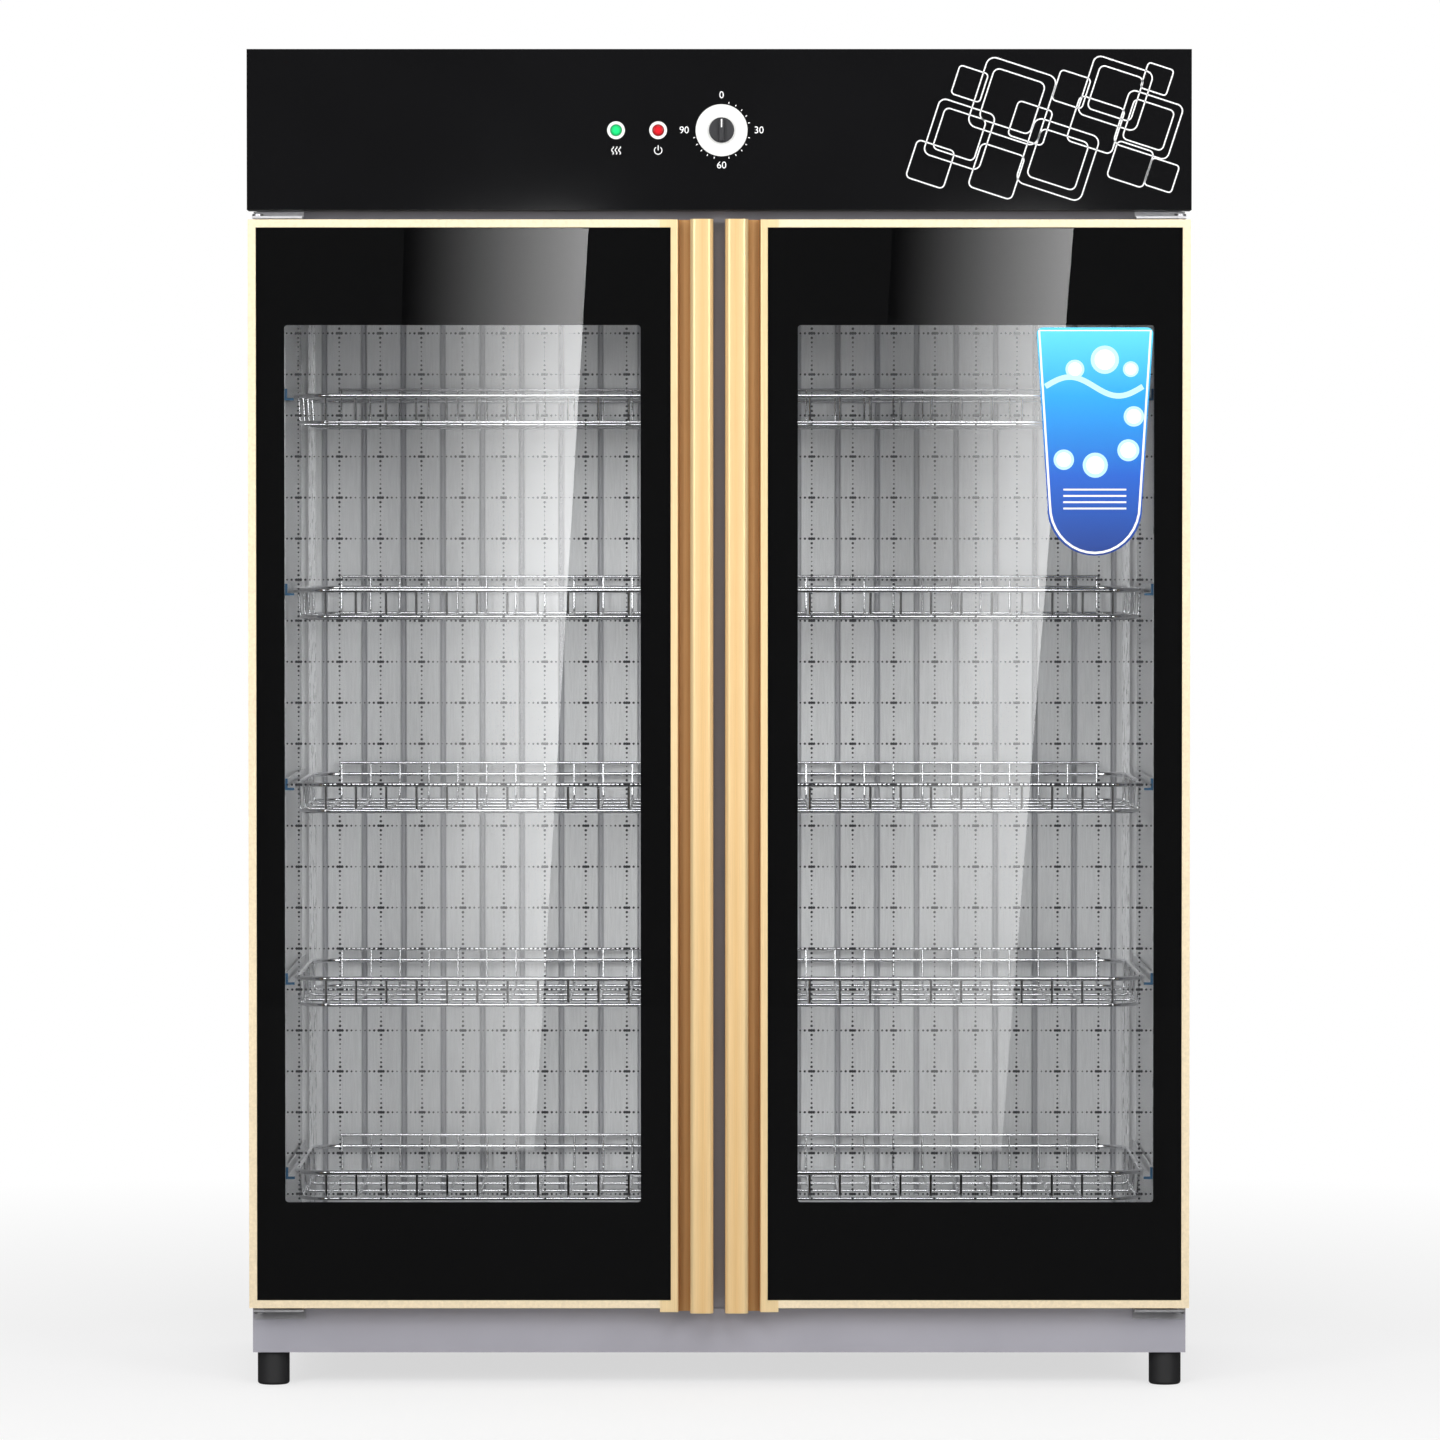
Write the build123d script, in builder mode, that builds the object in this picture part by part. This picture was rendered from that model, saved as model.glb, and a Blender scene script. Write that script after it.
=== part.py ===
from build123d import *
import os

# Dish sterilizer cabinet: a warm-air cabinet on four feet, with two glass doors, a centre
# mullion and ten wire baskets on runners.
# Millimetres, +Z up. The front faces -Y. The origin is on the floor, in the middle of the
# cabinet's width and depth.

# ---------------------------------------------------------------- driving dimensions
# Heights, stacked from the floor up
foot_height = 43
plinth_height = 56
door_bottom_gap = 5
door_height = 1386
door_top_gap = 12
fascia_height = 204

# Widths and depths
carcass_width = 1180
carcass_depth = 528
fascia_side_overhang = 10   # the fascia stands this far outside the carcass
door_side_overhang = 9      # a door's outer edge stands this far outside the carcass
door_inner_x = 7.5          # half of the slot between the two doors
door_thickness = 36
handle_projection = 18      # the handle ridge stands this far in front of the door
gasket_gap = 10             # back of the door to the front of the carcass
plinth_side_overhang = 7
plinth_front_overhang = 3

# Sheet metal and clearances
sheet = 1.5
liner_sheet = 1
clearance = 0.3             # between pieces that lie beside each other
running = 0.05              # radial clearance of a turning pin or shaft
screw_play = 0.2            # radial clearance of a screw in its hole

# Feet
foot_diameter = 41
foot_edge_radius = 4
foot_inset_x = 25           # from the plinth's side to a foot's centre
foot_inset_y = 28
foot_stud_diameter = 10
foot_stud_length = 16
plinth_flange = 60          # inward flanges along the plinth's top and bottom edges

# Front frame of the carcass
stile_width = 30
frame_depth = 30
bottom_rail_height = 51
top_rail_height = 80
mullion_width = 60
frame_tube_wall = 1.5
side_return = 16            # rear flange of a side panel
top_flange = 30

# Chamber liners
liner_inset = 1             # liners stand this far outside the stiles' inner faces
back_space = 30             # chamber back wall to the rear of the carcass
groove_pitch = 53
groove_width = 9
liner_end_sheets = 3        # side liners end this many sheets behind the grooves
rear_post_inset = 8         # a basket's outer wire to the rear post's middle
motor_edge_radius = 6
grille_corner = 12
groove_round = 2            # corners inside the handle's finger groove
leaf_side_gap = 5
timer_corner = 4
spindle_end_wall = 4
knob_edge_radius = 1.5
dial_chamfer = 1
thermostat_corner = 3
lens_rim_height = 0.5       # straight edge of a lens below its dome
groove_floor_width = 4
groove_depth = 5
liner_lap = 15              # floor and ceiling liners lap over the front rails

# Fan in the chamber's ceiling
fan_y = 40
shaft_diameter = 8
shaft_top_above_ceiling = 52
shaft_hole_diameter = 20
motor_diameter = 92
motor_height = 58
motor_plate_size = 150
motor_plate_height = 30     # plate above the ceiling liner, on four posts
motor_plate_thickness = 2
motor_post_diameter = 8
motor_post_spacing = 126
wheel_diameter = 150
wheel_height = 24
wheel_gap = 5               # wheel below the ceiling liner
wheel_plate = 2
blade_count = 12
blade_thickness = 1.5
blade_length = 34
hub_diameter = 30
hood_size = 240
hood_height = 40
hood_sheet = 1.2
hood_slot_count = 16
hood_slot_length = 52
hood_slot_width = 7

# Heating elements and their guard
element_diameter = 8
element_height = 34         # above the chamber floor
element_inner_x = 120
element_outer_x = 480
element_front_inset = 100
element_bend = 40
element_tail = 14           # runs on behind the back liner
collar_diameter = 22
collar_thickness = 4
guard_height = 54
guard_width = 1040
guard_front_inset = 60
guard_back_inset = 30
guard_slot_length = 60
guard_slot_width = 8
guard_slot_columns = 12
guard_slot_rows = 9
guard_slot_pitch_x = 80
guard_slot_pitch_y = 36

# Rack posts, runners and baskets
basket_levels = 5
lowest_rim = 268
level_pitch = 250
rear_post_size = 10
side_post_thickness = 4
side_post_width = 20
side_post_inset_y = 16      # side post behind the front frame
centre_post_width = 20
centre_post_depth = 12
runner_sheet = 1.5
runner_height = 12
runner_front_inset = 14     # runner's front end behind the front frame
runner_rear_lap = 6         # centre runners lap beside the rear post
cap_length = 6
basket_side_gap = 12        # chamber side to a basket's outer wire
basket_inner_x = 35
basket_front_space = 58     # basket front behind the front of the carcass
basket_post_gap = 2
basket_corner = 45
rim_wire = 6
frame_wire = 4.5
slot_wire = 3.5
basket_depth = 34
slot_pitch = 39
slot_margin = 24
carrier_count = 4
basket_wall_inset = 5       # lower wires stand inside the rim
rear_fence = 15
wire_bend = 8
ledge_lap = 0.5             # runner ledge reaches just past the rim's axis
carrier_inset = 2.8         # carrier ends beside the rim's axis
weld_depth = 0.8            # crossing wires sink into each other by this much

# Door frame and glass
strip_width = 10            # frame strip seen beside the glass
frame_section = 30
frame_wall = 2
glass_thickness = 5
glass_recess = 0.5
print_thickness = 0.3
window_inner_x = 100
window_side_margin = 46     # door's outer edge to the window
window_bottom = 239
window_top = 1356
window_corner = 4
gasket_width = 14
gasket_inset = 4

# Handle stile, as distances from the door's inner edge
ridge_width = 29.5
groove_mouth = 15
lip_width = 9.5
ridge_thickness = 9
ridge_round = 7
handle_neck = 14            # solid neck that carries the ridge
groove_depth_y = 16         # groove floor behind the door's front
glass_seat = 14
stile_wall = 2.5
stile_drop = 5              # handle stile runs on below the door frame
cap_thickness = 1.5

# Hinges
pin_inset_x = 12            # from the door's outer edge
pin_diameter = 8
pin_head_diameter = 14
pin_head_height = 3
pin_reach = 14
bush_diameter = 16
bush_height = 8
leaf_thickness = 3
leaf_length = 64
leaf_edge = 12              # leaf runs past the pin
lower_flange = 13
upper_flange = 7
flange_thickness = 2.5
bracket_screw_from_pin = 32
bracket_screw_diameter = 5
leaf_gap = 1.5              # upper leaf above the door
screw_head_diameter = 9
screw_head_height = 2.5
screw_grip = 4

# Fascia, lamps and timer
fascia_flange = 25
fascia_glass_thickness = 3
green_lamp_x = -131
red_lamp_x = -77.5
timer_x = 3
control_height = 101        # above the fascia's lower edge
lamp_hole_diameter = 19
bezel_diameter = 22.5
bezel_thickness = 2
bezel_wall = 1.6
lamp_depth = 24
lens_proud = 3.5
dial_diameter = 66
dial_thickness = 3
knob_diameter = 32
knob_height = 13.5
knob_grip_width = 7
spindle_diameter = 6
bush_hole_diameter = 12
timer_bush_diameter = 10
timer_size = 52
timer_depth = 36

# Small items inside and on the back
thermostat_x = 220
thermostat_y = 60
thermostat_length = 40
thermostat_width = 26
thermostat_height = 20
terminal_x = 0
terminal_above_fascia_edge = 100
terminal_length = 110
terminal_height = 26
terminal_depth = 18
terminal_poles = 6
gland_x = -400
gland_above_fascia_edge = 78
gland_projection = 8
gland_diameter = 28
gland_barrel = 20
gland_bore = 9
gland_nut = 6
rear_screw_rows = 4
rear_screw_margin = 90

# Label on the right door, seen from the front
label_top_width = 149
label_bottom_width = 120
label_side_height = 226
label_height = 290
label_top_z = 1353
label_outer_x = 552
label_thickness = 0.2
label_corner = 8

# ---------------------------------------------------------------- positions worked out
# Depths, from front to back
whole_depth = handle_projection + door_thickness + gasket_gap + carcass_depth + gland_projection
handle_front_y = -whole_depth / 2
door_front_y = handle_front_y + handle_projection
door_back_y = door_front_y + door_thickness
carcass_front_y = door_back_y + gasket_gap
carcass_back_y = carcass_front_y + carcass_depth
frame_back_y = carcass_front_y + frame_depth
chamber_back_y = carcass_back_y - back_space
liner_end_y = chamber_back_y + groove_depth + liner_end_sheets * liner_sheet
plinth_front_y = carcass_front_y - plinth_front_overhang

# Heights, from the floor up
plinth_top = foot_height + plinth_height
pan_top = plinth_top + sheet
chamber_floor = plinth_top + bottom_rail_height
door_bottom = plinth_top + door_bottom_gap
door_top = door_bottom + door_height
fascia_bottom = door_top + door_top_gap
cabinet_top = fascia_bottom + fascia_height
panel_top = cabinet_top - sheet
top_rail_bottom = door_top - top_rail_height / 2
top_rail_top = top_rail_bottom + top_rail_height
chamber_ceiling = top_rail_bottom - liner_sheet
liner_bottom = chamber_floor + liner_sheet

# Distances from the middle
carcass_x = carcass_width / 2
door_edge_x = carcass_x + door_side_overhang
window_outer_x = door_edge_x - window_side_margin
panel_x = carcass_x - sheet
stile_x = carcass_x - stile_width
chamber_x = stile_x + liner_inset
basket_outer_x = chamber_x - basket_side_gap
liner_x = chamber_x + liner_sheet
plinth_x = carcass_x + plinth_side_overhang
mullion_x = mullion_width / 2
pin_x = door_edge_x - pin_inset_x
pin_y = (door_front_y + door_back_y) / 2

# Rack
rear_post_front_y = chamber_back_y - rear_post_size
runner_front_y = frame_back_y + runner_front_inset
runner_outer_x = chamber_x - side_post_thickness
runner_centre_x = centre_post_width / 2
ledge_reach = rim_wire / 2 + ledge_lap
rim_levels = [lowest_rim + level_pitch * level for level in range(basket_levels)]
basket_front_y = carcass_front_y + basket_front_space
basket_back_y = rear_post_front_y - basket_post_gap
rear_post_x = basket_outer_x - rear_post_inset

# Door
glass_inner_x = door_inner_x + ridge_width + groove_mouth + lip_width
glass_outer_x = door_edge_x - strip_width
glass_front_y = door_front_y + glass_recess
glass_back_y = glass_front_y + glass_thickness
print_back_y = glass_back_y + print_thickness
seat_y = print_back_y + clearance
stile_outer_x = glass_inner_x + glass_seat
stile_bottom = door_bottom - stile_drop

# Fascia
fascia_x = carcass_x + fascia_side_overhang
tray_front_y = door_front_y + fascia_glass_thickness
control_z = fascia_bottom + control_height

os.makedirs("parts", exist_ok=True)


# ---------------------------------------------------------------- shared steps
def block(low, high, mode=Mode.ADD):
    """Rectangular block between two opposite corners, for the part being built."""
    size = [end - start for start, end in zip(low, high)]
    with Locations(tuple(low)):
        Box(*size, align=(Align.MIN, Align.MIN, Align.MIN), mode=mode)


def rod(start, direction, diameter, length, mode=Mode.ADD):
    """Round rod or hole from a start point along a direction."""
    with BuildSketch(Plane(origin=start, z_dir=direction)) as section:
        Circle(diameter / 2)
    extrude(section.sketch, amount=length, mode=mode)


def save(piece, name):
    """Name a finished piece and write it to its own file."""
    piece.part.label = name
    export_step(piece.part, f"parts/{name}.step")


def save_pair(piece, name):
    """Write a right-hand piece and its mirror image on the left."""
    save(piece, f"right_{name}")
    with BuildPart() as mirrored:
        mirror(piece.part, about=Plane.YZ)
    save(mirrored, f"left_{name}")


# ---------------------------------------------------------------- feet and plinth
foot_places = [
    (side * (plinth_x - foot_inset_x), y)
    for side in (-1, 1)
    for y in (plinth_front_y + foot_inset_y, carcass_back_y - foot_inset_y)
]

# Moulded feet, each with a threaded stud that passes up through the plinth's flange
with BuildPart() as feet:
    with BuildSketch(Plane.XY):
        with Locations(*foot_places):
            Circle(foot_diameter / 2)
    extrude(amount=foot_height)
    fillet(feet.faces().group_by(Axis.Z)[0].edges(), foot_edge_radius)
    with BuildSketch(Plane.XY.offset(foot_height)):
        with Locations(*foot_places):
            Circle(foot_stud_diameter / 2)
    extrude(amount=foot_stud_length)
save(feet, "feet")

bracket_screw_x = pin_x - bracket_screw_from_pin
lower_screw_z = plinth_top - lower_flange / 2

# Base frame: a folded ring with inward flanges along its top and bottom edges
with BuildPart() as plinth_frame:
    block((-plinth_x, plinth_front_y, foot_height), (plinth_x, carcass_back_y, plinth_top))
    block(
        (-plinth_x + sheet, plinth_front_y + sheet, foot_height + sheet),
        (plinth_x - sheet, carcass_back_y - sheet, plinth_top - sheet),
        mode=Mode.SUBTRACT,
    )
    block(
        (-plinth_x + plinth_flange, plinth_front_y + plinth_flange, foot_height),
        (plinth_x - plinth_flange, carcass_back_y - plinth_flange, plinth_top),
        mode=Mode.SUBTRACT,
    )
    with BuildSketch(Plane.XY.offset(foot_height)):
        with Locations(*foot_places):
            Circle(foot_stud_diameter / 2 + screw_play)
    extrude(amount=sheet, mode=Mode.SUBTRACT)
    for side in (-1, 1):
        hole = bracket_screw_diameter + 2 * screw_play
        rod((side * bracket_screw_x, plinth_front_y, lower_screw_z), (0, 1, 0), hole, sheet, Mode.SUBTRACT)
save(plinth_frame, "plinth_frame")

# ---------------------------------------------------------------- outer panels
# Floor pan, folded up at the front into the lower rail that the doors close against
with BuildPart() as base_pan:
    block((-carcass_x, carcass_front_y, plinth_top), (carcass_x, carcass_back_y, pan_top))
    block((-panel_x, carcass_front_y, pan_top), (panel_x, carcass_front_y + sheet, chamber_floor))
    block((-panel_x, carcass_front_y, chamber_floor - sheet), (panel_x, frame_back_y, chamber_floor))
save(base_pan, "base_pan")

rear_screw_zs = [
    pan_top + rear_screw_margin + row * (panel_top - pan_top - 2 * rear_screw_margin) / (rear_screw_rows - 1)
    for row in range(rear_screw_rows)
]
rear_screw_x = panel_x - side_return / 2
panel_back_y = carcass_back_y - sheet

# Side panel with a rear flange that the back is screwed to
with BuildPart() as side_panel:
    block((panel_x, carcass_front_y, pan_top), (carcass_x, panel_back_y, panel_top))
    block((panel_x - side_return, panel_back_y - sheet, pan_top), (panel_x, panel_back_y, panel_top))
    for z in rear_screw_zs:
        hole = bracket_screw_diameter + 2 * screw_play
        rod((rear_screw_x, panel_back_y - sheet, z), (0, 1, 0), hole, sheet, Mode.SUBTRACT)
save_pair(side_panel, "side_panel")

gland_z = fascia_bottom + gland_above_fascia_edge
terminal_z = fascia_bottom + terminal_above_fascia_edge

# Back sheet with its screw holes and the cord gland's hole
with BuildPart() as rear_panel:
    block((-carcass_x, panel_back_y, pan_top), (carcass_x, carcass_back_y, panel_top))
    for side in (-1, 1):
        for z in rear_screw_zs:
            hole = bracket_screw_diameter + 2 * screw_play
            rod((side * rear_screw_x, panel_back_y, z), (0, 1, 0), hole, sheet, Mode.SUBTRACT)
    gland_hole = gland_barrel + 2 * screw_play
    rod((gland_x, panel_back_y, gland_z), (0, 1, 0), gland_hole, sheet, Mode.SUBTRACT)
save(rear_panel, "rear_panel")

# Lid sheet with a front flange between the two front stiles
with BuildPart() as top_panel:
    block((-carcass_x, carcass_front_y, panel_top), (carcass_x, carcass_back_y, cabinet_top))
    block(
        (-stile_x + clearance, carcass_front_y, panel_top - top_flange),
        (stile_x - clearance, carcass_front_y + sheet, panel_top),
    )
save(top_panel, "top_panel")


# ---------------------------------------------------------------- front frame
def square_tube(low, high, axis):
    """Rectangular tube between two corners, open at both ends along one axis."""
    block(low, high)
    wall = [0 if index == axis else frame_tube_wall for index in range(3)]
    inner_low = [edge + inset for edge, inset in zip(low, wall)]
    inner_high = [edge - inset for edge, inset in zip(high, wall)]
    block(inner_low, inner_high, mode=Mode.SUBTRACT)


upper_screw_z = door_top + leaf_gap + leaf_thickness + upper_flange / 2

# Two upright tubes at the sides, from the lower rail to the lid
with BuildPart() as front_stiles:
    for side in (-1, 1):
        edges = sorted((side * stile_x, side * panel_x))
        square_tube((edges[0], carcass_front_y, chamber_floor), (edges[1], frame_back_y, panel_top), 2)
save(front_stiles, "front_stiles")

# Cross tube above the doors
with BuildPart() as top_front_rail:
    square_tube((-stile_x, carcass_front_y, top_rail_bottom), (stile_x, frame_back_y, top_rail_top), 0)
    for side in (-1, 1):
        hole = bracket_screw_diameter + 2 * screw_play
        start = (side * bracket_screw_x, carcass_front_y, upper_screw_z)
        rod(start, (0, 1, 0), hole, frame_tube_wall, Mode.SUBTRACT)
save(top_front_rail, "top_front_rail")

# Upright tube in the middle, which both doors seal against
with BuildPart() as centre_mullion:
    square_tube(
        (-mullion_x, carcass_front_y, chamber_floor), (mullion_x, frame_back_y, top_rail_bottom), 2
    )
save(centre_mullion, "centre_mullion")

# ---------------------------------------------------------------- chamber liners
element_z = chamber_floor + element_height

with BuildPart() as side_liners:
    for side in (-1, 1):
        edges = sorted((side * chamber_x, side * liner_x))
        block((edges[0], frame_back_y, liner_bottom), (edges[1], liner_end_y, chamber_ceiling))
save(side_liners, "side_liners")

groove_count = int(2 * chamber_x / groove_pitch)
groove_centres = [groove_pitch * (index - (groove_count - 1) / 2) for index in range(groove_count)]


def grooved_line(y):
    """Points across the back wall at depth y, with a shallow groove at each pitch."""
    points = [(-chamber_x, y)]
    for centre in groove_centres:
        points.append((centre - groove_width / 2, y))
        points.append((centre - groove_floor_width / 2, y + groove_depth))
        points.append((centre + groove_floor_width / 2, y + groove_depth))
        points.append((centre + groove_width / 2, y))
    points.append((chamber_x, y))
    return points


# Grooved back wall, with four holes for the tails of the heating elements
with BuildPart() as back_liner:
    with BuildSketch(Plane.XY.offset(liner_bottom)):
        with BuildLine():
            front_line = grooved_line(chamber_back_y)
            back_line = grooved_line(chamber_back_y + liner_sheet)
            Polyline(*front_line, *reversed(back_line), close=True)
        make_face()
    extrude(amount=chamber_ceiling - liner_bottom)
    for side in (-1, 1):
        for x in (element_inner_x, element_outer_x):
            hole = element_diameter + 2 * clearance
            depth = groove_depth + liner_sheet
            rod((side * x, chamber_back_y, element_z), (0, 1, 0), hole, depth, Mode.SUBTRACT)
save(back_liner, "back_liner")

def lapped_sheet(low_z, high_z):
    """Floor or ceiling sheet: its front edge laps over a rail, with notches for the uprights."""
    block((-liner_x, frame_back_y, low_z), (liner_x, liner_end_y, high_z))
    for side in (-1, 1):
        edges = sorted((side * (mullion_x + clearance), side * (stile_x - clearance)))
        block((edges[0], frame_back_y - liner_lap, low_z), (edges[1], frame_back_y, high_z))


with BuildPart() as floor_liner:
    lapped_sheet(chamber_floor, liner_bottom)
save(floor_liner, "floor_liner")

# Ceiling sheet with the hole for the fan's shaft
with BuildPart() as ceiling_liner:
    lapped_sheet(chamber_ceiling, top_rail_bottom)
    rod((0, fan_y, chamber_ceiling), (0, 0, 1), shaft_hole_diameter, liner_sheet, Mode.SUBTRACT)
save(ceiling_liner, "ceiling_liner")

# Mineral wool slabs between the liners and the outer panels
insulation_top = top_rail_bottom + motor_plate_height - 2 * clearance
with BuildPart() as insulation_slabs:
    for side in (-1, 1):
        edges = sorted((side * (liner_x + clearance), side * (panel_x - side_return - clearance)))
        slab_front_y = frame_back_y + clearance
        block((edges[0], slab_front_y, pan_top + clearance), (edges[1], liner_end_y, top_rail_bottom))
    slab_x = liner_x
    back_low = (-slab_x, liner_end_y + clearance, pan_top + clearance)
    block(back_low, (slab_x, panel_back_y - sheet - clearance, insulation_top))
    floor_low = (-slab_x, frame_back_y + clearance, pan_top + clearance)
    block(floor_low, (slab_x, liner_end_y, chamber_floor - clearance))
    roof_low = (-slab_x, frame_back_y + clearance, top_rail_bottom + clearance)
    block(roof_low, (slab_x, liner_end_y, insulation_top))
    motor_opening = motor_plate_size / 2 + 2 * clearance
    block(
        (-motor_opening, fan_y - motor_opening, top_rail_bottom),
        (motor_opening, fan_y + motor_opening, insulation_top),
        mode=Mode.SUBTRACT,
    )
    cutout_end_x = thermostat_x + thermostat_length + clearance
    cutout_end_y = thermostat_y + thermostat_width + clearance
    block(
        (thermostat_x - clearance, thermostat_y - clearance, top_rail_bottom),
        (cutout_end_x, cutout_end_y, insulation_top),
        mode=Mode.SUBTRACT,
    )
    for side in (-1, 1):
        for x in (element_inner_x, element_outer_x):
            hole = element_diameter + 2 * clearance
            depth = carcass_back_y - chamber_back_y
            rod((side * x, chamber_back_y, element_z), (0, 1, 0), hole, depth, Mode.SUBTRACT)
save(insulation_slabs, "insulation_slabs")

# ---------------------------------------------------------------- fan
motor_plate_z = top_rail_bottom + motor_plate_height
shaft_top = top_rail_bottom + shaft_top_above_ceiling
wheel_top = chamber_ceiling - wheel_gap

# Motor on a square plate with four posts that stand on the ceiling liner
with BuildPart() as fan_motor:
    plate_low = (-motor_plate_size / 2, fan_y - motor_plate_size / 2, motor_plate_z)
    plate_high = (motor_plate_size / 2, fan_y + motor_plate_size / 2, motor_plate_z + motor_plate_thickness)
    block(plate_low, plate_high)
    with BuildSketch(Plane.XY.offset(top_rail_bottom)):
        with Locations((0, fan_y)):
            with GridLocations(motor_post_spacing, motor_post_spacing, 2, 2):
                Circle(motor_post_diameter / 2)
    extrude(amount=motor_plate_height)
    rod((0, fan_y, motor_plate_z + motor_plate_thickness), (0, 0, 1), motor_diameter, motor_height)
    fillet(fan_motor.faces().sort_by(Axis.Z)[-1].edges(), motor_edge_radius)
    bore = shaft_diameter + 2 * running
    rod((0, fan_y, motor_plate_z), (0, 0, 1), bore, shaft_top - motor_plate_z + clearance, Mode.SUBTRACT)
save(fan_motor, "fan_motor")

# Radial blower wheel on its shaft
with BuildPart() as fan_wheel:
    rod((0, fan_y, wheel_top - wheel_height), (0, 0, 1), shaft_diameter, shaft_top - wheel_top + wheel_height)
    rod((0, fan_y, wheel_top - wheel_height), (0, 0, 1), hub_diameter, wheel_height)
    rod((0, fan_y, wheel_top - wheel_plate), (0, 0, 1), wheel_diameter, wheel_plate)
    blade_centre = wheel_diameter / 2 - blade_length / 2
    with Locations((0, fan_y, wheel_top - wheel_height)):
        with PolarLocations(blade_centre, blade_count):
            Box(
                blade_length,
                blade_thickness,
                wheel_height,
                rotation=(0, 0, 0),
                align=(Align.CENTER, Align.CENTER, Align.MIN),
            )
save(fan_wheel, "fan_wheel")

# Louvred hood under the wheel, fixed to the ceiling liner
with BuildPart() as fan_grille:
    half = hood_size / 2
    block((-half, fan_y - half, chamber_ceiling - hood_height), (half, fan_y + half, chamber_ceiling))
    fillet(fan_grille.edges().filter_by(Axis.Z), grille_corner)
    inner = half - hood_sheet
    block(
        (-inner, fan_y - inner, chamber_ceiling - hood_height + hood_sheet),
        (inner, fan_y + inner, chamber_ceiling),
        mode=Mode.SUBTRACT,
    )
    with BuildSketch(Plane.XY.offset(chamber_ceiling - hood_height)):
        with Locations((0, fan_y)):
            with PolarLocations(hub_diameter + hood_slot_length / 2, hood_slot_count):
                SlotOverall(hood_slot_length, hood_slot_width)
    extrude(amount=hood_sheet, mode=Mode.SUBTRACT)
save(fan_grille, "fan_grille")

# ---------------------------------------------------------------- heating
# Two hairpin elements that enter through the back wall, each with two seating collars
with BuildPart() as heating_elements:
    element_front_y = frame_back_y + element_front_inset
    tail_y = chamber_back_y + groove_depth + liner_sheet + element_tail
    for side in (-1, 1):
        inner_x = side * element_inner_x
        outer_x = side * element_outer_x
        with BuildLine(Plane.XY.offset(element_z)) as hairpin:
            FilletPolyline(
                (inner_x, tail_y),
                (inner_x, element_front_y),
                (outer_x, element_front_y),
                (outer_x, tail_y),
                radius=element_bend,
            )
        with BuildSketch(Plane(origin=(inner_x, tail_y, element_z), z_dir=(0, -1, 0))):
            Circle(element_diameter / 2)
        sweep(path=hairpin.wire())
        for x in (inner_x, outer_x):
            collar_start = (x, chamber_back_y, element_z)
            rod(collar_start, (0, -1, 0), collar_diameter, collar_thickness)
save(heating_elements, "heating_elements")

# Slotted guard plate over the elements, standing on the chamber floor
with BuildPart() as heater_guard:
    guard_front_y = frame_back_y + guard_front_inset
    guard_back_y = chamber_back_y - guard_back_inset
    guard_top = liner_bottom + guard_height
    block((-guard_width / 2, guard_front_y, liner_bottom), (guard_width / 2, guard_back_y, guard_top))
    block(
        (-guard_width / 2 + sheet, guard_front_y, liner_bottom),
        (guard_width / 2 - sheet, guard_back_y, guard_top - sheet),
        mode=Mode.SUBTRACT,
    )
    with BuildSketch(Plane.XY.offset(guard_top - sheet)):
        with Locations((0, (guard_front_y + guard_back_y) / 2)):
            with GridLocations(guard_slot_pitch_x, guard_slot_pitch_y, guard_slot_columns, guard_slot_rows):
                SlotOverall(guard_slot_length, guard_slot_width)
    extrude(amount=sheet, mode=Mode.SUBTRACT)
save(heater_guard, "heater_guard")

# ---------------------------------------------------------------- rack posts and runners
with BuildPart() as rack_posts:
    for side in (-1, 1):
        rear = sorted((side * rear_post_x, side * (rear_post_x + rear_post_size)))
        block((rear[0], rear_post_front_y, liner_bottom), (rear[1], chamber_back_y, chamber_ceiling))
        flat = sorted((side * runner_outer_x, side * chamber_x))
        flat_y = frame_back_y + side_post_inset_y
        block((flat[0], flat_y, liner_bottom), (flat[1], flat_y + side_post_width, chamber_ceiling))
    half = centre_post_width / 2
    block((-half, frame_back_y, liner_bottom), (half, frame_back_y + centre_post_depth, chamber_ceiling))
    block((-half, rear_post_front_y, liner_bottom), (half, chamber_back_y, chamber_ceiling))
save(rack_posts, "rack_posts")


def runner_outline(side, wall_x, ledge_x, rim_z, thickness):
    """L-shaped runner outline in the XZ plane: a leg on the wall and a ledge under the rim."""
    ledge_top = rim_z - rim_wire / 2 - clearance
    inward = 1 if ledge_x > wall_x else -1
    with BuildLine() as outline:
        Polyline(
            (side * wall_x, ledge_top - thickness),
            (side * ledge_x, ledge_top - thickness),
            (side * ledge_x, ledge_top),
            (side * (wall_x + inward * thickness), ledge_top),
            (side * (wall_x + inward * thickness), ledge_top + runner_height),
            (side * wall_x, ledge_top + runner_height),
            close=True,
        )
    make_face(outline.edges())


outer_ledge_x = basket_outer_x - ledge_reach
centre_ledge_x = basket_inner_x + ledge_reach
centre_runner_end_y = rear_post_front_y + runner_rear_lap
centre_runner_front_y = frame_back_y + centre_post_depth / 2
runner_kinds = [
    (runner_outer_x, outer_ledge_x, runner_front_y, rear_post_front_y),
    (runner_centre_x, centre_ledge_x, centre_runner_front_y, centre_runner_end_y),
]

# One L-shaped runner on each side of every basket
with BuildPart() as basket_runners:
    for rim_z in rim_levels:
        for side in (-1, 1):
            for wall_x, ledge_x, start_y, end_y in runner_kinds:
                with BuildSketch(Plane(origin=(0, end_y, 0), x_dir=(1, 0, 0), z_dir=(0, -1, 0))):
                    runner_outline(side, wall_x, ledge_x, rim_z, runner_sheet)
                extrude(amount=end_y - start_y)
save(basket_runners, "basket_runners")

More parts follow.
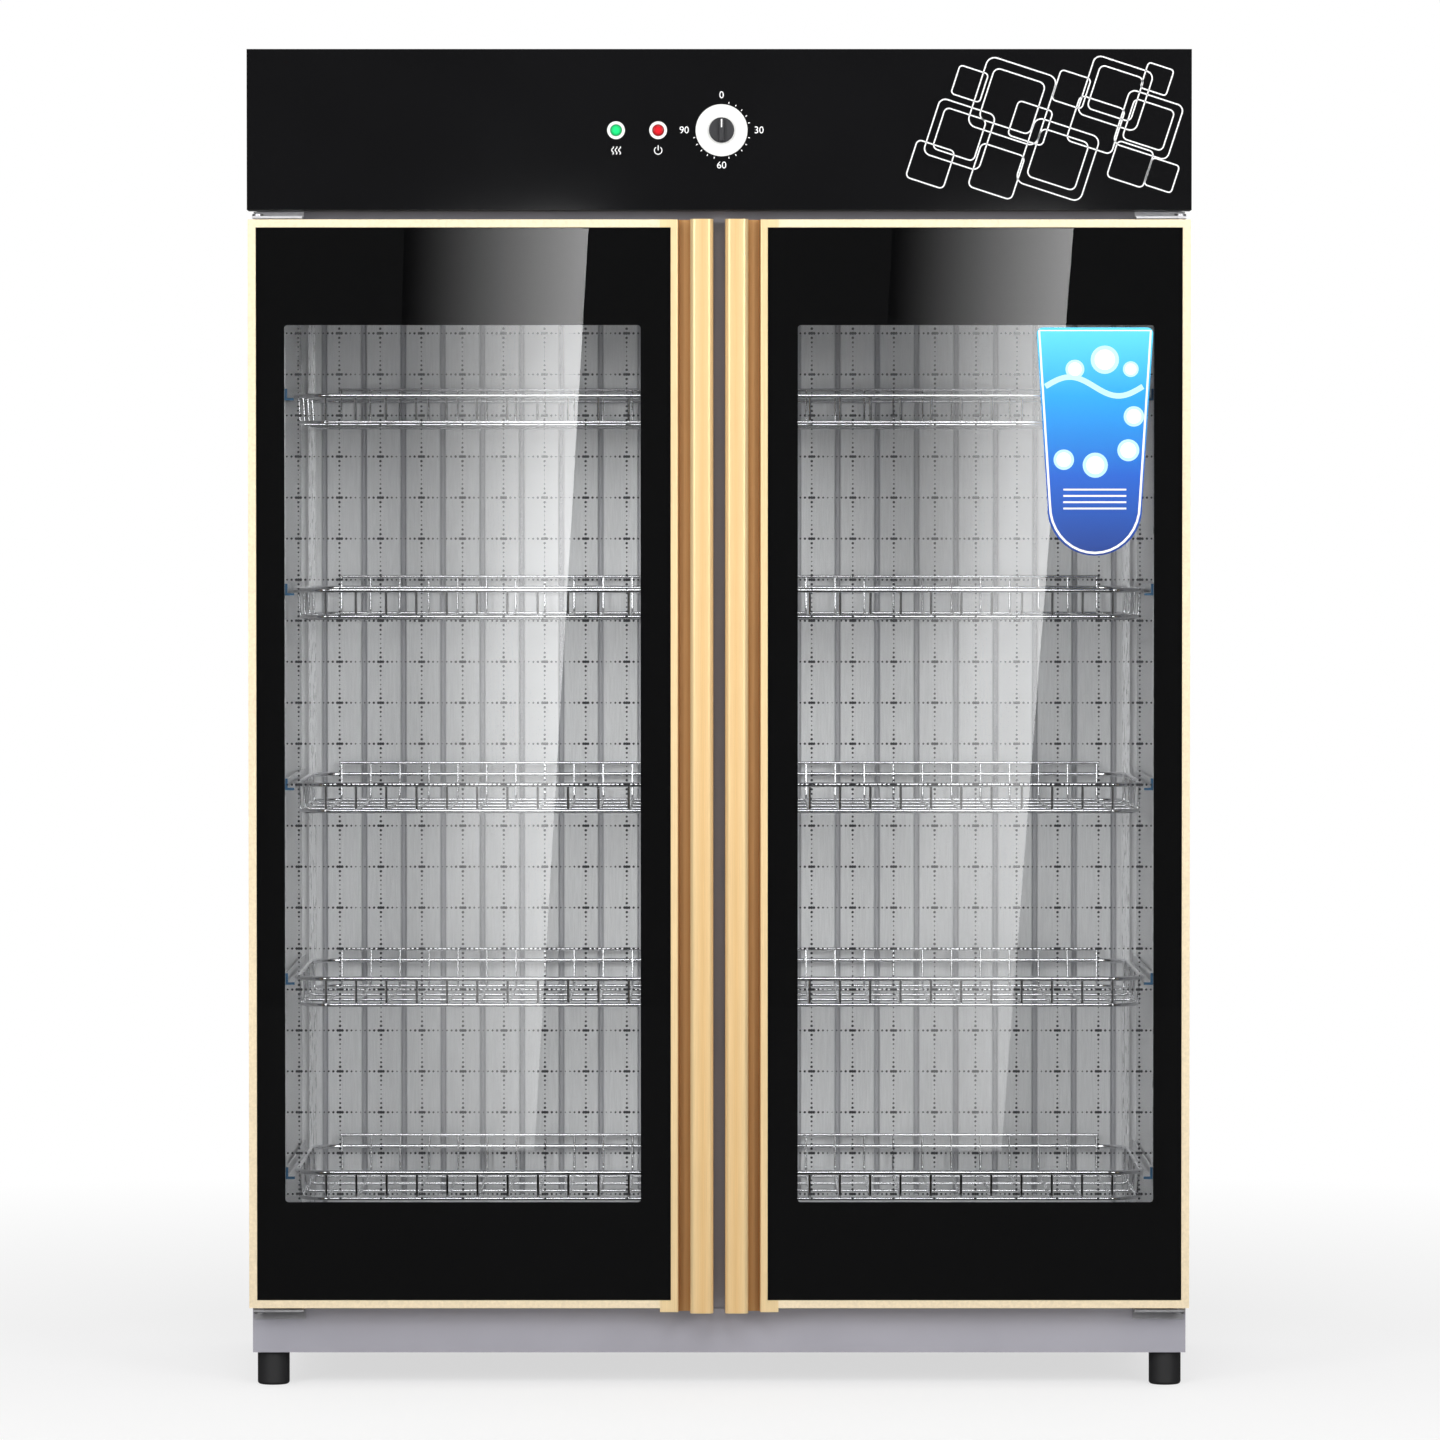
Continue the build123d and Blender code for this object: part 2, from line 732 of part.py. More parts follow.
# Moulded stop on the front end of every runner
with BuildPart() as runner_caps:
    for rim_z in rim_levels:
        for side in (-1, 1):
            for wall_x, ledge_x, start_y, end_y in runner_kinds:
                with BuildSketch(Plane(origin=(0, start_y, 0), x_dir=(1, 0, 0), z_dir=(0, -1, 0))):
                    runner_outline(side, wall_x, ledge_x, rim_z, 2 * runner_sheet)
                extrude(amount=cap_length)
save(runner_caps, "runner_caps")

# ---------------------------------------------------------------- baskets
# Every basket hangs by its rim; heights inside this section are measured from the rim's axis.
rim_front_y = basket_front_y + rim_wire / 2
rim_back_y = basket_back_y - rim_wire / 2
rim_inner_x = basket_inner_x + rim_wire / 2
rim_outer_x = basket_outer_x - rim_wire / 2
basket_mid_x = (basket_inner_x + basket_outer_x) / 2
basket_mid_y = (basket_front_y + basket_back_y) / 2
lower_z = -basket_depth
carrier_z = lower_z - slot_wire + weld_depth


def wire_loop(inset, z, wire, corner):
    """Closed loop of wire at height z, set in from the rim's centre line."""
    length = rim_outer_x - rim_inner_x - 2 * inset
    width = rim_back_y - rim_front_y - 2 * inset
    low_x, high_x = basket_mid_x - length / 2, basket_mid_x + length / 2
    low_y, high_y = basket_mid_y - width / 2, basket_mid_y + width / 2
    with BuildLine(Plane.XY.offset(z)) as loop:
        FilletPolyline(
            (low_x, low_y),
            (high_x, low_y),
            (high_x, high_y),
            (low_x, high_y),
            radius=corner,
            close=True,
        )
    path = loop.wire()
    with BuildSketch(Plane(origin=path @ 0, z_dir=path % 0)) as section:
        Circle(wire / 2)
    return sweep(section.sketch, path=path, mode=Mode.PRIVATE)


def bent_wire(points, wire):
    """Open wire through a list of points, with rounded bends."""
    with BuildLine() as run:
        FilletPolyline(*points, radius=wire_bend)
    path = run.wire()
    with BuildSketch(Plane(origin=path @ 0, z_dir=path % 0)) as section:
        Circle(wire / 2)
    return sweep(section.sketch, path=path, mode=Mode.PRIVATE)


slot_span = basket_outer_x - basket_inner_x - 2 * slot_margin
slot_count = int(slot_span / slot_pitch) + 1
slot_xs = [basket_mid_x + slot_pitch * (index - (slot_count - 1) / 2) for index in range(slot_count)]
carrier_span = rim_back_y - rim_front_y - 2 * basket_corner
carrier_pitch = carrier_span / (carrier_count - 1)
carrier_ys = [rim_front_y + basket_corner + carrier_pitch * index for index in range(carrier_count)]

# The wires of one basket: rim, lower loop, slot wires front to back, carriers side to side
basket_wires = [
    wire_loop(0, 0, rim_wire, basket_corner),
    wire_loop(basket_wall_inset, lower_z, frame_wire, basket_corner - basket_wall_inset),
]
for x in slot_xs:
    slot_points = [
        (x, rim_front_y, 0),
        (x, rim_front_y + basket_wall_inset, lower_z),
        (x, rim_back_y - basket_wall_inset, lower_z),
        (x, rim_back_y, rear_fence),
    ]
    basket_wires.append(bent_wire(slot_points, slot_wire))
for y in carrier_ys:
    carrier_points = [
        (rim_inner_x + carrier_inset, y, 0),
        (rim_inner_x + basket_wall_inset, y, carrier_z),
        (rim_outer_x - basket_wall_inset, y, carrier_z),
        (rim_outer_x - carrier_inset, y, 0),
    ]
    basket_wires.append(bent_wire(carrier_points, slot_wire))

# All wires are welded into one piece; a fence wire runs along the rear ends of the slot wires
with BuildPart() as basket:
    add(basket_wires)
    fence_start = (slot_xs[0] - slot_wire, rim_back_y, rear_fence)
    rod(fence_start, (1, 0, 0), frame_wire, slot_xs[-1] - slot_xs[0] + 2 * slot_wire)

for level, rim_z in enumerate(rim_levels, start=1):
    with BuildPart() as placed:
        add(basket.part.moved(Location((0, 0, rim_z))))
    save_pair(placed, f"basket_{level}")

# ---------------------------------------------------------------- door frames
frame_side = door_edge_x - stile_outer_x


def frame_profile():
    """Section of the frame: x runs inwards from the outer edge, y from front to back."""
    rebate_y = seat_y - door_front_y
    with BuildLine() as outline:
        Polyline(
            (0, 0),
            (strip_width, 0),
            (strip_width, rebate_y),
            (frame_section, rebate_y),
            (frame_section, door_thickness),
            (0, door_thickness),
            close=True,
        )
    make_face(outline.edges())
    offset(amount=-frame_wall, kind=Kind.INTERSECTION, mode=Mode.SUBTRACT)


upper_corner = (door_edge_x, 0, door_top)
lower_corner = (door_edge_x, 0, door_bottom)
upper_mitre = Plane(origin=upper_corner, z_dir=(-1, 0, 1))
lower_mitre = Plane(origin=lower_corner, z_dir=(1, 0, 1))

with BuildPart() as outer_stile:
    stile_plane = Plane(origin=(door_edge_x, door_front_y, door_bottom), x_dir=(-1, 0, 0), z_dir=(0, 0, -1))
    with BuildSketch(stile_plane):
        frame_profile()
    extrude(amount=-door_height)
    split(bisect_by=upper_mitre, keep=Keep.BOTTOM)
    split(bisect_by=lower_mitre, keep=Keep.TOP)

with BuildPart() as top_rail:
    rail_plane = Plane(origin=(door_edge_x, door_front_y, door_top), x_dir=(0, 0, -1), z_dir=(1, 0, 0))
    with BuildSketch(rail_plane):
        frame_profile()
    extrude(amount=-frame_side)
    split(bisect_by=upper_mitre, keep=Keep.TOP)
    pin_hole = pin_diameter + 2 * running
    bush_z = door_top - frame_wall - bush_height
    rod((pin_x, pin_y, bush_z), (0, 0, 1), bush_diameter, bush_height)
    rod((pin_x, pin_y, bush_z), (0, 0, 1), pin_hole, bush_height + frame_wall, Mode.SUBTRACT)

with BuildPart() as bottom_rail:
    rail_plane = Plane(origin=(door_edge_x, door_front_y, door_bottom), x_dir=(0, 0, 1), z_dir=(-1, 0, 0))
    with BuildSketch(rail_plane):
        frame_profile()
    extrude(amount=frame_side)
    split(bisect_by=lower_mitre, keep=Keep.BOTTOM)
    rod((pin_x, pin_y, door_bottom + frame_wall), (0, 0, 1), bush_diameter, bush_height)
    rod((pin_x, pin_y, door_bottom), (0, 0, 1), pin_hole, bush_height + frame_wall, Mode.SUBTRACT)

# Three mitred extrusions round the outer sides of the glass
with BuildPart() as door_frame:
    add(outer_stile.part)
    add(top_rail.part)
    add(bottom_rail.part)
save_pair(door_frame, "door_frame")

# ---------------------------------------------------------------- handle stile
ridge_end_x = door_inner_x + ridge_width
lip_x = ridge_end_x + groove_mouth
neck_x = door_inner_x + handle_neck
ridge_back_y = handle_front_y + ridge_thickness
groove_floor_y = door_front_y + groove_depth_y


def handle_outline():
    """Plan of the handle stile: ridge, finger groove, lip and the seat behind the glass."""
    with BuildLine() as outline:
        Polyline(
            (door_inner_x, handle_front_y),
            (ridge_end_x, handle_front_y),
            (ridge_end_x, ridge_back_y),
            (neck_x, ridge_back_y),
            (neck_x, groove_floor_y),
            (lip_x, groove_floor_y),
            (lip_x, door_front_y),
            (glass_inner_x, door_front_y),
            (glass_inner_x, seat_y),
            (stile_outer_x, seat_y),
            (stile_outer_x, door_back_y),
            (door_inner_x, door_back_y),
            close=True,
        )
    make_face(outline.edges())


def round_handle_outline(sketch):
    """Round the ridge's two front corners and the corners inside the groove."""
    front_corners = sketch.vertices().group_by(Axis.Y)[0]
    fillet(front_corners, ridge_round)
    groove_corners = sketch.vertices().filter_by_position(Axis.Y, ridge_back_y, groove_floor_y)
    inside = groove_corners.filter_by_position(Axis.X, neck_x, neck_x)
    fillet(inside, groove_round)
    mouth = sketch.vertices().filter_by_position(Axis.X, lip_x, lip_x)
    fillet(mouth, groove_round)


chamber_front_y = groove_floor_y + stile_wall
stile_low = stile_bottom + cap_thickness
stile_high = door_top - cap_thickness

# One extrusion: the finger groove is open to the front, a closed chamber lies behind it
with BuildPart() as handle_stile:
    with BuildSketch(Plane.XY.offset(stile_low)) as stile_sketch:
        handle_outline()
        round_handle_outline(stile_sketch)
    extrude(amount=stile_high - stile_low)
    for z_low, z_high in ((stile_low, door_bottom + strip_width), (door_top - strip_width, stile_high)):
        block((glass_inner_x, door_front_y, z_low), (stile_outer_x, seat_y, z_high))
    block(
        (door_inner_x + stile_wall, chamber_front_y, stile_low),
        (stile_outer_x - stile_wall, door_back_y - stile_wall, stile_high),
        mode=Mode.SUBTRACT,
    )
    block(
        (door_inner_x + stile_wall, handle_front_y + ridge_thickness, stile_low),
        (neck_x - stile_wall, chamber_front_y, stile_high),
        mode=Mode.SUBTRACT,
    )
save_pair(handle_stile, "handle_stile")

# Plates that close the stile's two ends, each with a plug in the chamber
with BuildPart() as handle_caps:
    for z_low in (stile_bottom, stile_high):
        with BuildSketch(Plane.XY.offset(z_low)) as cap_sketch:
            handle_outline()
            round_handle_outline(cap_sketch)
        extrude(amount=cap_thickness)
        block((glass_inner_x, door_front_y, z_low), (stile_outer_x, seat_y, z_low + cap_thickness))
    plug_low = (door_inner_x + stile_wall + clearance, chamber_front_y + clearance)
    plug_high = (stile_outer_x - stile_wall - clearance, door_back_y - stile_wall - clearance)
    plug_length = 4 * cap_thickness
    block((*plug_low, stile_low), (*plug_high, stile_low + plug_length))
    block((*plug_low, stile_high - plug_length), (*plug_high, stile_high))
save_pair(handle_caps, "handle_caps")

# ---------------------------------------------------------------- glass
glass_low_x = glass_inner_x + clearance
glass_high_x = glass_outer_x - clearance
glass_low_z = door_bottom + strip_width + clearance
glass_high_z = door_top - strip_width - clearance

with BuildPart() as door_glass:
    block((glass_low_x, glass_front_y, glass_low_z), (glass_high_x, glass_back_y, glass_high_z))
save_pair(door_glass, "door_glass")

# Black border printed on the back of the glass, open at the window
with BuildPart() as glass_border:
    block((glass_low_x, glass_back_y, glass_low_z), (glass_high_x, print_back_y, glass_high_z))
    window_plane = Plane(origin=(0, glass_back_y, 0), x_dir=(1, 0, 0), z_dir=(0, -1, 0))
    with BuildSketch(window_plane):
        with Locations(((window_inner_x + window_outer_x) / 2, (window_bottom + window_top) / 2)):
            window_width = window_outer_x - window_inner_x
            RectangleRounded(window_width, window_top - window_bottom, window_corner)
    extrude(amount=-print_thickness, mode=Mode.SUBTRACT)
save_pair(glass_border, "glass_border")

# Soft seal on the back of each door, pressed between door and carcass
gasket_inner_x = door_inner_x + gasket_inset
gasket_outer_x = pin_x - gasket_inset
gasket_low_z = door_bottom + gasket_inset
gasket_high_z = door_top - gasket_inset
with BuildPart() as door_gasket:
    gasket_back_y = carcass_front_y - clearance
    block((gasket_inner_x, door_back_y, gasket_low_z), (gasket_outer_x, gasket_back_y, gasket_high_z))
    block(
        (gasket_inner_x + gasket_width, door_back_y, gasket_low_z + gasket_width),
        (gasket_outer_x - gasket_width, carcass_front_y - clearance, gasket_high_z - gasket_width),
        mode=Mode.SUBTRACT,
    )
save_pair(door_gasket, "door_gasket")

# Film label on the right door's glass: straight top, tapering sides and a round foot
with BuildPart() as door_label:
    label_x = label_outer_x - label_top_width / 2
    taper = (label_top_width - label_bottom_width) / 2
    half_top = label_top_width / 2
    half_bottom = label_bottom_width / 2
    label_plane = Plane(origin=(label_x, glass_front_y, label_top_z), x_dir=(1, 0, 0), z_dir=(0, -1, 0))
    with BuildSketch(label_plane) as label_sketch:
        with BuildLine():
            Polyline(
                (-half_bottom, -label_side_height),
                (-half_top, 0),
                (half_top, 0),
                (half_bottom, -label_side_height),
            )
            ThreePointArc(
                (-half_bottom, -label_side_height), (0, -label_height), (half_bottom, -label_side_height)
            )
        make_face()
        fillet(label_sketch.vertices().group_by(Axis.Y)[-1], label_corner)
    extrude(amount=label_thickness)
save(door_label, "door_label")

# ---------------------------------------------------------------- hinges
leaf_outer_x = pin_x + leaf_edge - leaf_side_gap
leaf_front_y = pin_y - leaf_edge
lower_leaf_top = door_bottom - leaf_gap - 1
upper_leaf_bottom = door_top + leaf_gap
screw_hole = bracket_screw_diameter + 2 * screw_play


def bracket(side, leaf_z, flange_low, flange_high, back_y, screw_z):
    """Angle bracket: a level leaf that carries the pin and an upright flange on the carcass."""
    edges = sorted((side * (leaf_outer_x - leaf_length), side * leaf_outer_x))
    block((edges[0], leaf_front_y, leaf_z), (edges[1], back_y, leaf_z + leaf_thickness))
    block((edges[0], back_y - flange_thickness, flange_low), (edges[1], back_y, flange_high))
    rod((side * pin_x, pin_y, leaf_z), (0, 0, 1), pin_hole, leaf_thickness, Mode.SUBTRACT)
    start = (side * bracket_screw_x, back_y - flange_thickness, screw_z)
    rod(start, (0, 1, 0), screw_hole, flange_thickness, Mode.SUBTRACT)


# Lower pair on the plinth's front and upper pair on the top rail
with BuildPart() as hinge_brackets:
    for side in (-1, 1):
        lower_leaf_z = lower_leaf_top - leaf_thickness
        bracket(side, lower_leaf_z, plinth_top - lower_flange, lower_leaf_z, plinth_front_y, lower_screw_z)
        flange_low = upper_leaf_bottom + leaf_thickness
        bracket(side, upper_leaf_bottom, flange_low, flange_low + upper_flange, carcass_front_y, upper_screw_z)
save(hinge_brackets, "hinge_brackets")

# Headed pins: each passes through its leaf into the bush in the door's frame
with BuildPart() as hinge_pins:
    for side in (-1, 1):
        low_z = lower_leaf_top - leaf_thickness
        rod((side * pin_x, pin_y, low_z - pin_head_height), (0, 0, 1), pin_head_diameter, pin_head_height)
        rod((side * pin_x, pin_y, low_z), (0, 0, 1), pin_diameter, door_bottom + pin_reach - low_z)
        shoulder = door_bottom - lower_leaf_top - clearance
        rod((side * pin_x, pin_y, lower_leaf_top), (0, 0, 1), pin_head_diameter, shoulder)
        high_z = upper_leaf_bottom + leaf_thickness
        rod((side * pin_x, pin_y, high_z), (0, 0, 1), pin_head_diameter, pin_head_height)
        rod((side * pin_x, pin_y, high_z), (0, 0, -1), pin_diameter, high_z - door_top + pin_reach)
save(hinge_pins, "hinge_pins")

# Pan-head screws of the brackets and of the back panel
with BuildPart() as screws:
    for side in (-1, 1):
        bracket_faces = (
            (plinth_front_y - flange_thickness, lower_screw_z, screw_grip),
            (carcass_front_y - flange_thickness, upper_screw_z, screw_grip),
        )
        for y, z, grip in bracket_faces:
            head = min(screw_head_diameter, 2 * (upper_flange - 1))
            rod((side * bracket_screw_x, y, z), (0, -1, 0), head - 3 if z > door_top else head, screw_head_height)
            rod((side * bracket_screw_x, y, z), (0, 1, 0), bracket_screw_diameter, grip)
        for z in rear_screw_zs:
            rod((side * rear_screw_x, carcass_back_y, z), (0, 1, 0), screw_head_diameter, screw_head_height)
            rod((side * rear_screw_x, carcass_back_y, z), (0, -1, 0), bracket_screw_diameter, screw_grip)
save(screws, "screws")

# ---------------------------------------------------------------- fascia
def fascia_holes(y, depth):
    """Holes for the two lamps and the timer's bush."""
    for x in (green_lamp_x, red_lamp_x):
        rod((x, y, control_z), (0, 1, 0), lamp_hole_diameter, depth, Mode.SUBTRACT)
    rod((timer_x, y, control_z), (0, 1, 0), bush_hole_diameter, depth, Mode.SUBTRACT)


# Folded tray behind the fascia glass, with a rear flange on the carcass front
with BuildPart() as fascia_tray:
    block((-fascia_x, tray_front_y, fascia_bottom), (fascia_x, carcass_front_y, cabinet_top))
    block(
        (-fascia_x + sheet, tray_front_y + sheet, fascia_bottom + sheet),
        (fascia_x - sheet, carcass_front_y - sheet, cabinet_top - sheet),
        mode=Mode.SUBTRACT,
    )
    block(
        (-fascia_x + fascia_flange, tray_front_y + sheet, fascia_bottom + fascia_flange),
        (fascia_x - fascia_flange, carcass_front_y, cabinet_top - fascia_flange),
        mode=Mode.SUBTRACT,
    )
    fascia_holes(tray_front_y, sheet)
save(fascia_tray, "fascia_tray")

with BuildPart() as fascia_glass:
    block((-fascia_x, door_front_y, fascia_bottom), (fascia_x, tray_front_y, cabinet_top))
    fascia_holes(door_front_y, fascia_glass_thickness)
save(fascia_glass, "fascia_glass")

bezel_bore = lamp_hole_diameter - 2 * clearance - 2 * bezel_wall

# White rings that hold the two lamp lenses
with BuildPart() as lamp_bezels:
    for x in (green_lamp_x, red_lamp_x):
        rod((x, door_front_y, control_z), (0, -1, 0), bezel_diameter, bezel_thickness)
        rod((x, door_front_y, control_z), (0, 1, 0), lamp_hole_diameter - 2 * clearance, lamp_depth)
        bore_start = (x, door_front_y - bezel_thickness, control_z)
        rod(bore_start, (0, 1, 0), bezel_bore, bezel_thickness + lamp_depth, Mode.SUBTRACT)
save(lamp_bezels, "lamp_bezels")


def lamp_lens(x, name):
    """Clear round lens with a domed front, standing a little proud of its bezel."""
    with BuildPart() as lens:
        length = bezel_thickness + lens_proud + lamp_depth
        rod((x, door_front_y + lamp_depth, control_z), (0, -1, 0), bezel_bore - 2 * running, length)
        fillet(lens.faces().sort_by(Axis.Y)[0].edges(), lens_proud - lens_rim_height)
    save(lens, name)


lamp_lens(green_lamp_x, "green_lamp_lens")
lamp_lens(red_lamp_x, "red_lamp_lens")

dial_front_y = door_front_y - dial_thickness
timer_reach = dial_front_y + clearance

# Clockwork timer on the back of the tray, with a threaded bush through both sheets
with BuildPart() as timer_body:
    half = timer_size / 2
    block(
        (timer_x - half, tray_front_y + sheet, control_z - half),
        (timer_x + half, tray_front_y + sheet + timer_depth, control_z + half),
    )
    fillet(timer_body.edges().filter_by(Axis.Y), timer_corner)
    bush_length = tray_front_y + sheet - timer_reach
    rod((timer_x, tray_front_y + sheet, control_z), (0, -1, 0), timer_bush_diameter, bush_length)
    spindle_bore = spindle_diameter + 2 * running
    bore_depth = timer_depth + tray_front_y + sheet - timer_reach - spindle_end_wall
    rod((timer_x, timer_reach, control_z), (0, 1, 0), spindle_bore, bore_depth, Mode.SUBTRACT)
save(timer_body, "timer_body")

# White ring round the timer's knob
with BuildPart() as timer_dial:
    rod((timer_x, door_front_y, control_z), (0, -1, 0), dial_diameter, dial_thickness)
    chamfer(timer_dial.faces().sort_by(Axis.Y)[0].edges(), dial_chamfer)
    rod((timer_x, door_front_y, control_z), (0, -1, 0), bush_hole_diameter, dial_thickness, Mode.SUBTRACT)
save(timer_dial, "timer_dial")

# Knob with a raised grip bar and the timer's spindle
with BuildPart() as timer_knob:
    knob_back_y = dial_front_y - clearance
    rod((timer_x, knob_back_y, control_z), (0, -1, 0), knob_diameter, knob_height / 2)
    fillet(timer_knob.faces().sort_by(Axis.Y)[0].edges(), knob_edge_radius)
    half_grip = knob_diameter / 2 - 1.5
    block(
        (timer_x - knob_grip_width / 2, knob_back_y - knob_height, control_z - half_grip),
        (timer_x + knob_grip_width / 2, knob_back_y - knob_height / 2, control_z + half_grip),
    )
    fillet(timer_knob.faces().sort_by(Axis.Y)[0].edges(), knob_edge_radius)
    rod((timer_x, knob_back_y, control_z), (0, 1, 0), spindle_diameter, bore_depth)
save(timer_knob, "timer_knob")

# ---------------------------------------------------------------- electrical pieces
# Overheat cut-out on the ceiling liner
with BuildPart() as thermostat:
    high = (
        thermostat_x + thermostat_length,
        thermostat_y + thermostat_width,
        top_rail_bottom + thermostat_height,
    )
    block((thermostat_x, thermostat_y, top_rail_bottom), high)
    fillet(thermostat.edges().filter_by(Axis.Z), thermostat_corner)
save(thermostat, "thermostat")

# Terminal block on the inside of the back panel
with BuildPart() as terminal_block:
    low_x = terminal_x - terminal_length / 2
    block(
        (low_x, panel_back_y - terminal_depth, terminal_z),
        (low_x + terminal_length, panel_back_y, terminal_z + terminal_height),
    )
    pole_pitch = terminal_length / terminal_poles
    terminal_front = (terminal_x, panel_back_y - terminal_depth, terminal_z)
    with BuildSketch(Plane(origin=terminal_front, x_dir=(1, 0, 0), z_dir=(0, -1, 0))):
        with Locations((0, terminal_height / 2)):
            with GridLocations(pole_pitch, terminal_height / 2, terminal_poles, 2):
                Circle(pole_pitch / 4)
    extrude(amount=-terminal_depth / 2, mode=Mode.SUBTRACT)
save(terminal_block, "terminal_block")

# Cord gland through the back panel: outer nut, barrel and inner nut
with BuildPart() as cord_gland:
    with BuildSketch(Plane(origin=(gland_x, carcass_back_y, gland_z), z_dir=(0, 1, 0))):
        RegularPolygon(gland_diameter / 2, 6)
    extrude(amount=gland_projection)
    rod((gland_x, panel_back_y - gland_nut, gland_z), (0, 1, 0), gland_barrel, gland_nut + sheet)
    with BuildSketch(Plane(origin=(gland_x, panel_back_y, gland_z), z_dir=(0, -1, 0))):
        RegularPolygon(gland_diameter / 2, 6)
    extrude(amount=gland_nut)
    bore_length = gland_nut + sheet + gland_projection
    rod((gland_x, panel_back_y - gland_nut, gland_z), (0, 1, 0), gland_bore, bore_length, Mode.SUBTRACT)
save(cord_gland, "cord_gland")
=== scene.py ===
import math

import bmesh
import bpy
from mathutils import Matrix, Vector


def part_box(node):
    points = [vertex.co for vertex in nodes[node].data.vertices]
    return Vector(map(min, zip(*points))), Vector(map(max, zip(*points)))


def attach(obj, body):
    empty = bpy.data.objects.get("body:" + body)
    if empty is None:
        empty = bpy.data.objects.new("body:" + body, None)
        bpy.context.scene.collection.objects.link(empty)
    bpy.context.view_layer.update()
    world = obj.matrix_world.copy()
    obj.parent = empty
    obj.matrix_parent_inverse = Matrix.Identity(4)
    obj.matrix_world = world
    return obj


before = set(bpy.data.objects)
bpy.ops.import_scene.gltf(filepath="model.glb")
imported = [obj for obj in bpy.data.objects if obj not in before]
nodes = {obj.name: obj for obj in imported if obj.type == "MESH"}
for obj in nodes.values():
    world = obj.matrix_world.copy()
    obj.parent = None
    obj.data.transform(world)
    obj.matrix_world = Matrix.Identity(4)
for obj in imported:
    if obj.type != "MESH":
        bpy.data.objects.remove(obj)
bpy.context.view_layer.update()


# ------------------------------------------------------------------ painted carcass sheets
# The plinth, floor pan, side panels, lid and front frame are folded steel sheet, powder coated
# in a light violet grey. The coat has a fine orange peel and a slightly mottled tone; its worn, lighter edges are
# not drawn.
def shader(name):
    """A new material with its node tree, its surface shader and a mapping on object coordinates."""
    material = bpy.data.materials.new(name)
    material.use_nodes = True
    tree = material.node_tree
    surface = tree.nodes["Principled BSDF"]
    place = tree.nodes.new("ShaderNodeTexCoord")
    mapping = tree.nodes.new("ShaderNodeMapping")
    tree.links.new(place.outputs["Object"], mapping.inputs["Vector"])
    return material, tree, surface, mapping


def noise(tree, mapping, scale, detail=3.0):
    """A noise texture on the piece's mapped coordinates."""
    texture = tree.nodes.new("ShaderNodeTexNoise")
    texture.inputs["Scale"].default_value = scale
    texture.inputs["Detail"].default_value = detail
    tree.links.new(mapping.outputs["Vector"], texture.inputs["Vector"])
    return texture


def ramp(tree, source, stops):
    """A colour ramp from a value, with (position, colour) stops."""
    colours = tree.nodes.new("ShaderNodeValToRGB")
    colours.color_ramp.elements[0].position = stops[0][0]
    colours.color_ramp.elements[0].color = (*stops[0][1], 1)
    colours.color_ramp.elements[1].position = stops[-1][0]
    colours.color_ramp.elements[1].color = (*stops[-1][1], 1)
    for position, colour in stops[1:-1]:
        element = colours.color_ramp.elements.new(position)
        element.color = (*colour, 1)
    tree.links.new(source, colours.inputs["Fac"])
    return colours


def grain_bump(tree, surface, height, strength, distance):
    """Fine surface relief from a texture's value."""
    bump = tree.nodes.new("ShaderNodeBump")
    bump.inputs["Strength"].default_value = strength
    bump.inputs["Distance"].default_value = distance
    tree.links.new(height, bump.inputs["Height"])
    tree.links.new(bump.outputs["Normal"], surface.inputs["Normal"])
    return bump


def coated(name, colour, roughness, peel_scale=900.0, metallic=0.0, spread=0.05):
    """Powder coat or moulded plastic: mottled colour, uneven gloss and orange peel."""
    material, tree, surface, mapping = shader(name)
    mottle = noise(tree, mapping, 6.0)
    darker = tuple(c * (1 - spread) for c in colour)
    lighter = tuple(min(1, c * (1 + spread)) for c in colour)
    tint = ramp(tree, mottle.outputs["Fac"], [(0.35, darker), (0.65, lighter)])
    tree.links.new(tint.outputs["Color"], surface.inputs["Base Color"])
    gloss = tree.nodes.new("ShaderNodeMapRange")
    gloss.inputs["To Min"].default_value = roughness * 0.85
    gloss.inputs["To Max"].default_value = min(1, roughness * 1.2)
    tree.links.new(mottle.outputs["Fac"], gloss.inputs["Value"])
    tree.links.new(gloss.outputs["Result"], surface.inputs["Roughness"])
    surface.inputs["Metallic"].default_value = metallic
    peel = noise(tree, mapping, peel_scale, 2.0)
    grain_bump(tree, surface, peel.outputs["Fac"], 0.12, 0.0004)
    return material


def dress(material, slot_name, *names):
    """Give CAD nodes a finish; slot_name is not used."""
    for name in names:
        piece = nodes[name]
        piece.data.materials.clear()
        piece.data.materials.append(material)


carcass_coat = coated("carcass_coat", (0.30, 0.295, 0.335), 0.42)
dress(
    carcass_coat, "grey_paint", "plinth_frame", "base_pan", "left_side_panel", "right_side_panel",
    "top_panel", "front_stiles", "top_front_rail", "centre_mullion",
)


